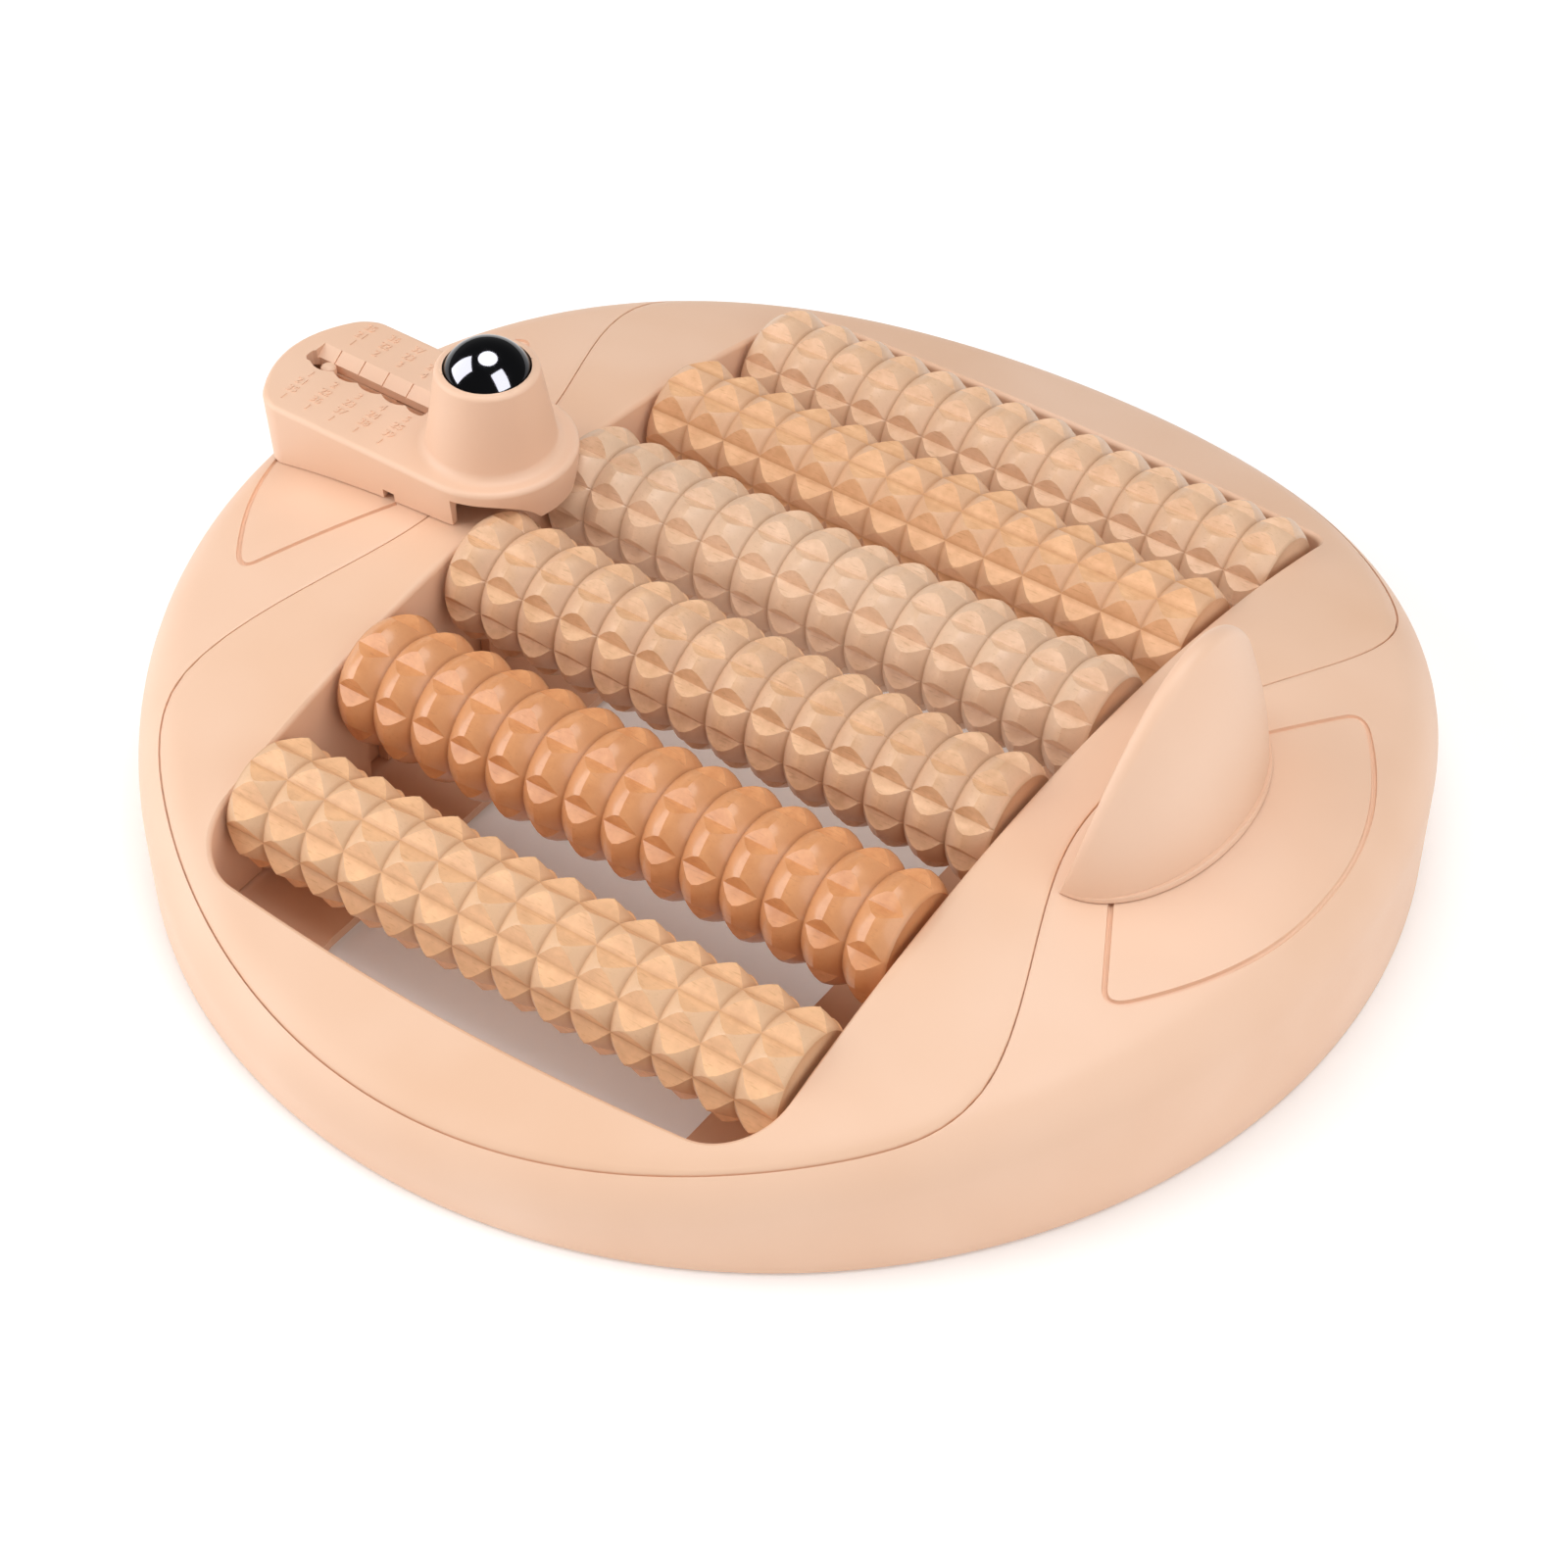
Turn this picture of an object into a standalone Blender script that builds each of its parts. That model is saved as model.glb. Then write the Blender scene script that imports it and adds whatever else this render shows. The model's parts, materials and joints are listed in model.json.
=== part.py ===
"""Foot massage roller: an arched round base with six wooden rollers, a sliding ball arm and an arch fin.

The base stands on Z = 0 with its centre over the origin. The rollers lie along X, one behind the other
from the front (-Y) to the back (+Y), and follow the arch of the base. The arm slides along X on the left
side (-X), and the fin stands on the right side (+X). All sizes are in metres.
"""

import math
from collections import namedtuple

import bmesh
import bpy
from mathutils import Matrix, Vector

# Base: oval outline, arched top, rolled rim and side wall
BASE_HALF_X = 0.1395
BASE_HALF_Y = 0.1425
DOME_HEIGHT = 0.048
DOME_SIDE_FALL = 0.010
DOME_SIDE_POWER = 4
DOME_RADIUS_Y = 0.3375
RIM_FILLET = 0.010
WALL = 0.0025
WALL_DRAFT = 0.0003
LEAST_FLAT_SHARE = 0.2
SHELL_FLOOR_GAP = 0.0004

# Fits between pieces
FIT = 0.0003
SEAM_GAP = 0.0004

# Seam between shell and roller frame: narrow waist beside arm and fin, close to the rim in front and behind
SEAM_INSET = 0.005
WAIST_LAND = 0.0122
WAIST_FLARE = 0.0355
WAIST_FLARE_ANGLE = math.radians(32.6)
WAIST_FLARE_POWER = 2.8
SEAM_CORNER_SHARPNESS = 13

# Rollers and axles
ROLLER_COUNT = 6
ROLLER_RADIUS = 0.015
ROLLER_SINK = 0.0093
RING_COUNT = 14
RING_PITCH = 0.0101
RING_GROOVE = 0.0028
AXLE_RADIUS = 0.0025
AXLE_OVERHANG = 0.0005
CRADLE_THICKNESS = 0.004
CRADLE_END = 0.006

# Opening of the roller frame: a wide, bowed gap in front of the rollers, a close one behind them
OPENING_SIDE_GAP = 0.0013
OPENING_FRONT_GAP = 0.0085
OPENING_FRONT_LAND = 0.028
OPENING_FRONT_CORNER = 0.014
OPENING_FRONT_BOW = 0.004
OPENING_BACK_GAP = 0.0013
OPENING_BACK_CORNER = 0.004
OPENING_BACK_BOW = 0.0024
OPENING_EDGE = 0.0008
FRAME_WALL = 0.0025

# Bottom plate, feet and screws
FOOT_HEIGHT = 0.0015
FOOT_RADIUS = 0.008
FOOT_ANGLE = math.radians(42)
PLATE_THICKNESS = 0.0024
PLATE_OPENING_HALF_X = 0.047
BOSS_RADIUS = 0.0035
BOSS_BITE = 0.0015
SCREW_RADIUS = 0.0014
SCREW_HEAD_RADIUS = 0.003
SCREW_HEAD_HEIGHT = 0.0009
SCREW_DEPTH = 0.009
SHELL_SCREW_ANGLE = math.radians(22)
FRAME_SCREW_ANGLE = math.radians(72)

# Sliding arm with its cone
ARM_HALF_WIDTH = 0.0193
ARM_TOP = 0.0573
ARM_RIM_GAP = 0.0
ARM_LENGTH = 0.0783
ARM_CORNER = 0.004
ARM_END_BULGE = 0.0083
ARM_ROLL_SHARE = 0.6
ARM_EDGE = 0.001
ARM_WALL = 0.0022
ARM_PLATE = 0.0024
ARM_DRAFT = 0.0008
ARM_ROLLER_GAP = 0.0009
ARM_NOTCH_REACH = 0.0055
ARM_WINDOW_GAP = 0.0135
ARM_WINDOW_WIDTH = 0.006
ARM_WINDOW_HEIGHT = 0.003
CONE_BASE_RADIUS = 0.0145
CONE_TOP_RADIUS = 0.0117
CONE_HEIGHT = 0.0205
CONE_FLARE = 0.0025

# Index slot: straight at the back, scalloped in front with one hollow for each setting
SETTING_COUNT = 5
SETTING_STEP = 0.0070
SLOT_BACK_Y = 0.0055
SLOT_FRONT_Y = -0.0016
SLOT_END_ROOM = 0.0055
SLOT_CORNER = 0.001
SLOT_WALL = 0.0012
SCALLOP_DEPTH = 0.0012
SCALLOP_STEPS = 6
PIN_INSET = 0.0110
PIN_RADIUS = 0.0018

# Rail that the arm's lips hook under
LIP_WIDTH = 0.004
LIP_THICKNESS = 0.0018
LIP_LIFT = 0.0012
RAIL_HEAD = 0.003
RAIL_OVERLAP = 0.0018
RAIL_INSET = 0.008
RAIL_LENGTH = 0.021
RAIL_TONGUE_LENGTH = 0.013
RAIL_TONGUE_HALF = 0.008
RAIL_SCREW_INSETS = (0.0105, 0.0275)

# Steel ball and its seat
BALL_RADIUS = 0.0105
BALL_HEIGHT = 0.0160
BALL_FIT = 0.0003
SEAT_LIP = 0.0012

# Arch fin
FIN_RIM_GAP = 0.0281
FIN_DEPTH = 0.0211
FIN_HALF_LENGTH = 0.0342
FIN_HEIGHT = 0.0435
FIN_LEAN = 0.0067
FIN_POINT = 0.7
FIN_EDGE = 0.0012
FIN_BULGE = 0.0035
FIN_SKIRT_HEIGHT = 0.0016
FIN_SKIRT_STEP = 0.0011
FIN_SCREW_Y = 0.013

# Leaf-shaped groove in the shell around the foot of the arm and of the fin
LEAF_REACH = 0.1323
LEAF_TIP_X = 0.1117
LEAF_TIP_Y = 0.0515
LEAF_ROOT_X = 0.0935
LEAF_ROOT_Y = 0.0185
LEAF_POWER = 2.2
LEAF_CORNER = 0.0045
LEAF_GROOVE = 0.0006

# Facets
BASE_STEPS = 18
CORNER_STEPS = 5
TURN_STEPS = 18
BALL_STEPS = 20
AXLE_STEPS = 10
FOOT_STEPS = 12
SCREW_STEPS = 6
LEAF_STEPS = 6

# Lengths that follow from the sizes above
ROLLER_LENGTH = RING_COUNT * RING_PITCH
OPENING_HALF_X = ROLLER_LENGTH / 2 + OPENING_SIDE_GAP
OPENING_FRONT_Y = BASE_HALF_Y - OPENING_FRONT_LAND
ROLLER_SPACING = (OPENING_FRONT_Y - OPENING_FRONT_GAP - ROLLER_RADIUS) * 2 / (ROLLER_COUNT - 1)
OPENING_BACK_Y = ROLLER_SPACING * (ROLLER_COUNT - 1) / 2 + ROLLER_RADIUS + OPENING_BACK_GAP
WAIST_HALF = OPENING_HALF_X + WAIST_LAND
PLATE_BOTTOM = FOOT_HEIGHT + FIT
PLATE_TOP = PLATE_BOTTOM + PLATE_THICKNESS
FRAME_FOOT = PLATE_TOP + FIT
CRADLE_INNER_X = OPENING_HALF_X + FRAME_WALL + FIT
AXLE_HALF_LENGTH = CRADLE_INNER_X + CRADLE_THICKNESS + AXLE_OVERHANG
ARM_OUTER_X = ARM_RIM_GAP - BASE_HALF_X
ARM_CONE_X = ARM_OUTER_X + ARM_LENGTH - ARM_HALF_WIDTH
ARM_WINDOW_X = ARM_CONE_X - ARM_WINDOW_GAP
PIN_X = ARM_OUTER_X + PIN_INSET
PIN_Y = SLOT_FRONT_Y + PIN_RADIUS + FIT
SLOT_LEFT = PIN_X - SLOT_END_ROOM
SLOT_RIGHT = PIN_X + SETTING_STEP * (SETTING_COUNT - 1) + PIN_RADIUS + FIT
RAIL_OUTER_X = ARM_OUTER_X + RAIL_INSET
RAIL_INNER_X = RAIL_OUTER_X + RAIL_LENGTH
RAIL_TONGUE_X = RAIL_INNER_X + RAIL_TONGUE_LENGTH
FIN_INNER_X = BASE_HALF_X - FIN_RIM_GAP - FIN_DEPTH
BALL_CENTRE = Vector((ARM_CONE_X, 0.0, ARM_TOP + BALL_HEIGHT))
ARM_CEILING = ARM_TOP - ARM_PLATE
LIP_INNER = ARM_HALF_WIDTH - ARM_WALL - LIP_WIDTH

# V-cuts of a roller: how many, how deep, and half the angle that one cut takes from the crest
RollerCut = namedtuple("RollerCut", "count depth half_angle")
PYRAMID_CUT = RollerCut(10, RING_GROOVE, math.pi / 10)
DISC_CUT = RollerCut(10, 0.0018, math.radians(11))
VARNISHED_CUT = RollerCut(8, 0.0016, math.radians(10))
ROLLER_CUTS = (PYRAMID_CUT, VARNISHED_CUT, DISC_CUT, DISC_CUT, PYRAMID_CUT, DISC_CUT)
ROLLER_TURNS = tuple(math.radians(a) for a in (32.0, 20.3, 34.5, 29.0, 33.0, 35.2))
ROLLER_WOODS = ("beech", "varnished", "pale", "pale", "beech", "pale")


def clear_scene():
    """Removes every object of the scene."""
    for obj in list(bpy.data.objects):
        bpy.data.objects.remove(obj, do_unlink=True)


def new_collection(name):
    """Collection linked to the scene."""
    collection = bpy.data.collections.new(name)
    bpy.context.scene.collection.children.link(collection)
    return collection


def finish(name, red, green, blue, roughness, metallic=0.0):
    """Principled material from linear colour values."""
    material = bpy.data.materials.new(name)
    material.use_nodes = True
    shader = material.node_tree.nodes["Principled BSDF"]
    shader.inputs["Base Color"].default_value = (red, green, blue, 1.0)
    shader.inputs["Roughness"].default_value = roughness
    shader.inputs["Metallic"].default_value = metallic
    return material


clear_scene()
PARTS = new_collection("foot_massage_roller")
CUTTERS = new_collection("cutters")

FINISHES = {
    "shell": finish("peach_plastic", 0.86, 0.59, 0.42, 0.45),
    "frame": finish("peach_plastic_inner", 0.84, 0.57, 0.41, 0.45),
    "beech": finish("beech", 0.78, 0.48, 0.24, 0.55),
    "pale": finish("pale_beech", 0.70, 0.46, 0.28, 0.55),
    "varnished": finish("varnished_wood", 0.52, 0.23, 0.09, 0.35),
    "steel": finish("steel", 0.60, 0.60, 0.60, 0.30, 1.0),
    "ball": finish("polished_steel", 0.30, 0.30, 0.32, 0.05, 1.0),
    "rubber": finish("rubber", 0.05, 0.05, 0.05, 0.80),
}


def add_part(name, mesh, finish_name, smooth_angle=math.radians(35)):
    """Named piece of the object, shaded smooth except at sharp edges."""
    obj = bpy.data.objects.new(name, mesh)
    PARTS.objects.link(obj)
    mesh.materials.append(FINISHES[finish_name])
    if smooth_angle:
        mesh.shade_smooth()
        mesh.set_sharp_from_angle(angle=smooth_angle)
    return obj


def add_cutter(name, mesh):
    """Shape that only adds to or takes from a piece."""
    obj = bpy.data.objects.new(name, mesh)
    CUTTERS.objects.link(obj)
    obj.hide_render = True
    obj.display_type = "WIRE"
    return obj


def combine(obj, cutter, operation):
    """Boolean of a piece with a cutter: UNION or DIFFERENCE."""
    modifier = obj.modifiers.new(cutter.name, "BOOLEAN")
    modifier.operation = operation
    modifier.solver = "EXACT"
    modifier.object = cutter


def move_origin(obj, origin):
    """Puts the origin of a piece on its joint's axis and leaves the shape where it is."""
    obj.data.transform(Matrix.Translation(-origin))
    obj.location = origin


def mesh_from(bm, name):
    """Mesh with its faces pointing out."""
    bmesh.ops.recalc_face_normals(bm, faces=bm.faces)
    mesh = bpy.data.meshes.new(name)
    bm.to_mesh(mesh)
    bm.free()
    return mesh


def ring_loft(name, sections):
    """Closed ring through closed sections, each a list of points."""
    bm = bmesh.new()
    loops = [[bm.verts.new(point) for point in section] for section in sections]
    for first, second in zip(loops, loops[1:] + loops[:1]):
        for i in range(len(first)):
            j = (i + 1) % len(first)
            bm.faces.new((first[i], first[j], second[j], second[i]))
    return mesh_from(bm, name)


def stack_loft(name, rings):
    """Closed body through stacked closed outlines, with both ends filled."""
    bm = bmesh.new()
    loops = [[bm.verts.new(point) for point in ring] for ring in rings]
    for first, second in zip(loops, loops[1:]):
        for i in range(len(first)):
            j = (i + 1) % len(first)
            bm.faces.new((first[i], first[j], second[j], second[i]))
    bm.faces.new(loops[0])
    bm.faces.new(loops[-1])
    return mesh_from(bm, name)


def prism(name, outline, low, high):
    """Outline in the XY plane, filled and raised from one height to another."""
    return stack_loft(name, [[(x, y, z) for x, y in outline] for z in (low, high)])


def side_prism(name, outline, low_x, high_x):
    """Outline in the YZ plane, filled and carried along X."""
    return stack_loft(name, [[(x, y, z) for y, z in outline] for x in (low_x, high_x)])


def join_meshes(name, meshes):
    """One mesh of several separate bodies."""
    bm = bmesh.new()
    for mesh in meshes:
        bm.from_mesh(mesh)
    return mesh_from(bm, name)


def box_outline(low_x, high_x, low_y, high_y):
    """Rectangle in the XY plane."""
    return [(low_x, low_y), (high_x, low_y), (high_x, high_y), (low_x, high_y)]


def circle_outline(centre_x, centre_y, radius, steps):
    """Circle in a plane."""
    turns = [2 * math.pi * i / steps for i in range(steps)]
    return [(centre_x + radius * math.cos(a), centre_y + radius * math.sin(a)) for a in turns]


def turned(name, profile, centre, steps):
    """Solid turned about a vertical axis; the profile runs from its top to its bottom, axis to axis."""
    mesh = bpy.data.meshes.new(name)
    points = [(radius, 0.0, height) for radius, height in profile]
    mesh.from_pydata(points, [(i, i + 1) for i in range(len(points) - 1)], [])
    source = bpy.data.objects.new(name, mesh)
    CUTTERS.objects.link(source)
    screw = source.modifiers.new("turn", "SCREW")
    screw.axis = "Z"
    screw.angle = 2 * math.pi
    screw.steps = steps
    screw.render_steps = steps
    screw.use_merge_vertices = True
    screw.merge_threshold = 0.000001
    bpy.context.view_layer.update()
    solid = bpy.data.meshes.new_from_object(source.evaluated_get(bpy.context.evaluated_depsgraph_get()))
    bpy.data.objects.remove(source, do_unlink=True)
    bm = bmesh.new()
    bm.from_mesh(solid)
    bmesh.ops.remove_doubles(bm, verts=bm.verts, dist=0.000001)
    bmesh.ops.translate(bm, verts=bm.verts, vec=centre)
    return mesh_from(bm, name)


def dome_height(x, y):
    """Height of the arched top over a point."""
    fall_x = DOME_SIDE_FALL * (x / BASE_HALF_X) ** DOME_SIDE_POWER
    fall_y = DOME_RADIUS_Y - math.sqrt(DOME_RADIUS_Y ** 2 - y * y)
    return DOME_HEIGHT - fall_x - fall_y


def oval_radius(angle, inset=0.0):
    """Distance from the centre to the oval outline of the base, less an inset."""
    across = math.cos(angle) / BASE_HALF_X
    along = math.sin(angle) / BASE_HALF_Y
    return 1 / math.hypot(across, along) - inset


def top_height(angle, radius):
    """Height of the top surface in a direction from the centre, with the rolled rim."""
    past_rim = (radius - oval_radius(angle, RIM_FILLET)) / RIM_FILLET
    past_rim = min(max(past_rim, 0.0), 1.0)
    roll = RIM_FILLET * (1 - math.sqrt(1 - past_rim ** 2))
    return dome_height(radius * math.cos(angle), radius * math.sin(angle)) - roll


def seam_radius(angle):
    """Distance from the centre to the seam: a flaring waist that rounds into the inset oval."""
    turn = math.asin(min(abs(math.sin(angle)), 1.0))
    waist = WAIST_HALF + WAIST_FLARE * (turn / WAIST_FLARE_ANGLE) ** WAIST_FLARE_POWER
    oval = oval_radius(angle, SEAM_INSET)
    power = SEAM_CORNER_SHARPNESS
    return (waist ** -power + oval ** -power) ** (-1 / power)


def rounded_quadrant(half_x, half_y, corner, bow):
    """Quarter of an opening's outline, from the X axis to the Y axis, with a bowed end."""
    points = [(half_x, 0.0)]
    for i in range(CORNER_STEPS + 1):
        turn = math.pi / 2 * i / CORNER_STEPS
        points.append((half_x - corner + corner * math.cos(turn), half_y - corner + corner * math.sin(turn)))
    points += [((half_x - corner) * share, half_y) for share in (0.6, 0.3, 0.0)]
    return [(x, y + bow * (1 - (x / half_x) ** 2)) for x, y in points]


def opening_outline(half_x, grow=0.0):
    """Closed outline of the opening, alike on both sides and different in front and behind."""
    ends = (
        (OPENING_BACK_Y, OPENING_BACK_CORNER, OPENING_BACK_BOW),
        (OPENING_FRONT_Y, OPENING_FRONT_CORNER, OPENING_FRONT_BOW),
    )
    halves = []
    for end_y, corner, bow in ends:
        quarter = rounded_quadrant(half_x + grow, end_y + grow, corner + grow, bow)
        halves.append(quarter + [(-x, y) for x, y in reversed(quarter[:-1])])
    back, front = halves
    return back + [(x, -y) for x, y in reversed(front[1:-1])]


def ray_radius(outline, angle):
    """Distance from the centre to a closed outline in a direction."""
    cosine = math.cos(angle)
    sine = math.sin(angle)
    for (ax, ay), (bx, by) in zip(outline, outline[1:] + outline[:1]):
        side_a = cosine * ay - sine * ax
        side_b = cosine * by - sine * bx
        if side_a <= 0.0 <= side_b and side_a != side_b:
            share = side_a / (side_a - side_b)
            return (ax + (bx - ax) * share) * cosine + (ay + (by - ay) * share) * sine
    return 0.0


def full_turn(quarter):
    """Angles of a full turn from those of the first quarter."""
    half = quarter + [math.pi - a for a in reversed(quarter[:-1])]
    return half + [2 * math.pi - a for a in reversed(half[1:-1])]


def even_quarter(steps):
    """Even angles from the X axis to the Y axis."""
    return [math.pi / 2 * i / steps for i in range(steps + 1)]


def polar_point(angle, radius, height):
    """Point at an angle and distance from the centre."""
    return (radius * math.cos(angle), radius * math.sin(angle), height)


def axle_place(index):
    """Y and Z of an axle: evenly spaced, a fixed depth below the arch."""
    y = (index - (ROLLER_COUNT - 1) / 2) * ROLLER_SPACING
    return y, dome_height(0.0, y) - ROLLER_SINK


OPENING = opening_outline(OPENING_HALF_X)
OPENING_OUTSIDE = opening_outline(OPENING_HALF_X, FRAME_WALL)


def mirrored_places(angle, radius):
    """Four places at the same distance from both axes."""
    x, y, _ = polar_point(angle, radius, 0.0)
    return [(x, y), (-x, y), (-x, -y), (x, -y)]


SHELL_SCREWS = mirrored_places(
    SHELL_SCREW_ANGLE, (seam_radius(SHELL_SCREW_ANGLE) + oval_radius(SHELL_SCREW_ANGLE, WALL)) / 2
)
FRAME_SCREWS = mirrored_places(
    FRAME_SCREW_ANGLE, (ray_radius(OPENING_OUTSIDE, -FRAME_SCREW_ANGLE) + seam_radius(FRAME_SCREW_ANGLE)) / 2
)
RAIL_SCREWS = [(RAIL_OUTER_X + inset, 0.0) for inset in RAIL_SCREW_INSETS]
FIN_SCREW_X = FIN_INNER_X + FIN_DEPTH / 2
FIN_SCREWS = [(FIN_SCREW_X, -FIN_SCREW_Y), (FIN_SCREW_X, FIN_SCREW_Y)]
SCREW_HOLE = SCREW_RADIUS + FIT


def pegs(name, places, radius, low, high, steps=SCREW_STEPS):
    """Upright round pegs at several places; each end is a height or a function of the place."""
    bodies = []
    for i, (x, y) in enumerate(places):
        bottom = low(x, y) if callable(low) else low
        top = high(x, y) if callable(high) else high
        bodies.append(prism("%s_%d" % (name, i + 1), circle_outline(x, y, radius, steps), bottom, top))
    return join_meshes(name, bodies)


def boss_top(x, y):
    """Height inside the thickness of the top panel, under its lowest point over a boss."""
    rim = circle_outline(x, y, BOSS_RADIUS, SCREW_STEPS)
    return min(top_height(math.atan2(v, u), math.hypot(u, v)) for u, v in rim) - WALL + BOSS_BITE


def add_bosses(obj, name, places):
    """Screw bosses from the underside of the top down to the bottom plate, with their holes."""
    combine(obj, add_cutter(name, pegs(name, places, BOSS_RADIUS, FRAME_FOOT, boss_top)), "UNION")
    bores = pegs(name + "_bore", places, SCREW_HOLE, 0.0, PLATE_TOP + SCREW_DEPTH + FIT)
    combine(obj, add_cutter(name + "_bore", bores), "DIFFERENCE")


def shell_section(angle):
    """Section of the shell: along the top, over the rim, down the wall and back inside."""
    edge = oval_radius(angle)
    rim = edge - RIM_FILLET
    seam = seam_radius(angle) + SEAM_GAP / 2
    flat = max(rim - seam, (edge - seam) * LEAST_FLAT_SHARE)
    start = math.acos((seam + flat - rim) / RIM_FILLET)
    radii = [seam, seam + flat / 3, seam + flat * 2 / 3]
    radii += [rim + RIM_FILLET * math.cos(start * (1 - share)) for share in (0.0, 0.3, 0.55, 0.8, 1.0)]
    points = [(radius, top_height(angle, radius)) for radius in radii]
    points.append((edge - WALL_DRAFT, SHELL_FLOOR_GAP))
    points.append((edge - WALL_DRAFT - WALL, SHELL_FLOOR_GAP))
    inner = edge - WALL
    points.append((inner, top_height(angle, edge)))
    for share in (0.85, 0.5, 0.0):
        radius = seam + (inner - seam) * share
        points.append((radius, top_height(angle, radius) - WALL))
    return [polar_point(angle, radius, height) for radius, height in points]


def leaf_path(side):
    """Path of one groove: from the root, round the tip, along the outer arc and back to the other root."""
    def outer(y):
        return Vector((LEAF_REACH - (LEAF_REACH - LEAF_TIP_X) * abs(y / LEAF_TIP_Y) ** LEAF_POWER, y))

    root = Vector((LEAF_ROOT_X, LEAF_ROOT_Y))
    tip = Vector((LEAF_TIP_X, LEAF_TIP_Y))
    before = tip - (tip - root).normalized() * LEAF_CORNER
    after = outer(LEAF_TIP_Y - LEAF_CORNER)
    half = [root, root.lerp(before, 0.5)]
    for share in (0.0, 0.3, 0.5, 0.7, 1.0):
        half.append(before.lerp(tip, share).lerp(tip.lerp(after, share), share))
    half += [outer(after.y * (1 - i / LEAF_STEPS)) for i in range(1, LEAF_STEPS + 1)]
    path = half + [Vector((point.x, -point.y)) for point in reversed(half[:-1])]
    return [(side * point.x, point.y) for point in path]


def groove_mesh(name, path):
    """Round bar along a path on the arched top; it cuts the groove."""
    sections = []
    for i, (x, y) in enumerate(path):
        ahead = path[min(i + 1, len(path) - 1)]
        behind = path[max(i - 1, 0)]
        across = Vector((behind[1] - ahead[1], ahead[0] - behind[0], 0.0)).normalized()
        centre = Vector((x, y, dome_height(x, y)))
        ring = circle_outline(0.0, 0.0, LEAF_GROOVE, 6)
        sections.append([centre + across * u + Vector((0.0, 0.0, v)) for u, v in ring])
    return stack_loft(name, sections)


def build_shell():
    """Outer shell: ring outside the seam, with rim, wall, leaf grooves, screw bosses and screw holes."""
    angles = full_turn(even_quarter(BASE_STEPS))
    shell = add_part("outer_shell", ring_loft("outer_shell", [shell_section(a) for a in angles]), "shell")
    add_bosses(shell, "shell_bosses", SHELL_SCREWS)
    places = RAIL_SCREWS + FIN_SCREWS
    holes = pegs("top_holes", places, SCREW_HOLE, PLATE_TOP, ARM_TOP)
    combine(shell, add_cutter("top_holes", holes), "DIFFERENCE")
    grooves = [groove_mesh("leaf_groove_%d" % side, leaf_path(side)) for side in (-1, 1)]
    combine(shell, add_cutter("leaf_grooves", join_meshes("leaf_grooves", grooves)), "DIFFERENCE")
    return shell


def frame_section(angle):
    """Section of the roller frame: wall of the opening, top panel and its underside."""
    inner = ray_radius(OPENING, angle)
    wall = ray_radius(OPENING_OUTSIDE, angle)
    seam = seam_radius(angle) - SEAM_GAP / 2
    middle = (wall + seam) / 2
    edge = inner + OPENING_EDGE
    points = [(inner, FRAME_FOOT), (inner, top_height(angle, inner) - OPENING_EDGE)]
    points += [(radius, top_height(angle, radius)) for radius in (edge, middle, seam)]
    points += [(radius, top_height(angle, radius) - WALL) for radius in (seam, wall)]
    points.append((wall, FRAME_FOOT))
    return [polar_point(angle, radius, height) for radius, height in points]


def frame_angles():
    """Angles for the frame: the corners of its opening and even steps between them."""
    corners = [math.atan2(y, x) % (2 * math.pi) for x, y in OPENING]
    least = math.pi / 2 / BASE_STEPS * 0.6
    between = [a for a in full_turn(even_quarter(BASE_STEPS)) if min(abs(a - c) for c in corners) > least]
    return sorted(corners + between)


def axle_slot(index, radius, floor):
    """Slot outline in the YZ plane: round at the axle, straight and open downwards."""
    y, z = axle_place(index)
    arc = [math.pi * i / 6 for i in range(7)]
    return [(y - radius, floor), (y + radius, floor)] + [
        (y + radius * math.cos(a), z + radius * math.sin(a)) for a in arc
    ]


def build_frame():
    """Roller frame: top panel with the opening, deep side walls slotted for the axles, and bosses."""
    sections = [frame_section(a) for a in frame_angles()]
    frame = add_part("roller_frame", ring_loft("roller_frame", sections), "frame")
    reach = OPENING_HALF_X + FRAME_WALL + FIT
    slots = []
    for i in range(ROLLER_COUNT):
        outline = axle_slot(i, AXLE_RADIUS + FIT, 0.0)
        slots.append(side_prism("axle_slot_%d" % (i + 1), outline, -reach, reach))
    combine(frame, add_cutter("axle_slots", join_meshes("axle_slots", slots)), "DIFFERENCE")
    add_bosses(frame, "frame_bosses", FRAME_SCREWS)
    return frame


def build_bottom_plate():
    """Bottom plate: flat ring inside the shell wall, with a ledge under the rollers and screw holes."""
    angles = full_turn(even_quarter(BASE_STEPS))
    outside = [polar_point(a, oval_radius(a, WALL_DRAFT + WALL + FIT), 0.0)[:2] for a in angles]
    inside = opening_outline(PLATE_OPENING_HALF_X)
    mesh = prism("bottom_plate", outside, PLATE_BOTTOM, PLATE_TOP)
    plate = add_part("bottom_plate", mesh, "frame")
    opening = prism("plate_opening", inside, 0.0, PLATE_TOP + FIT)
    combine(plate, add_cutter("plate_opening", opening), "DIFFERENCE")
    holes = pegs("plate_holes", SHELL_SCREWS + FRAME_SCREWS, SCREW_HOLE, 0.0, PLATE_TOP + FIT)
    combine(plate, add_cutter("plate_holes", holes), "DIFFERENCE")
    return plate


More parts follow.
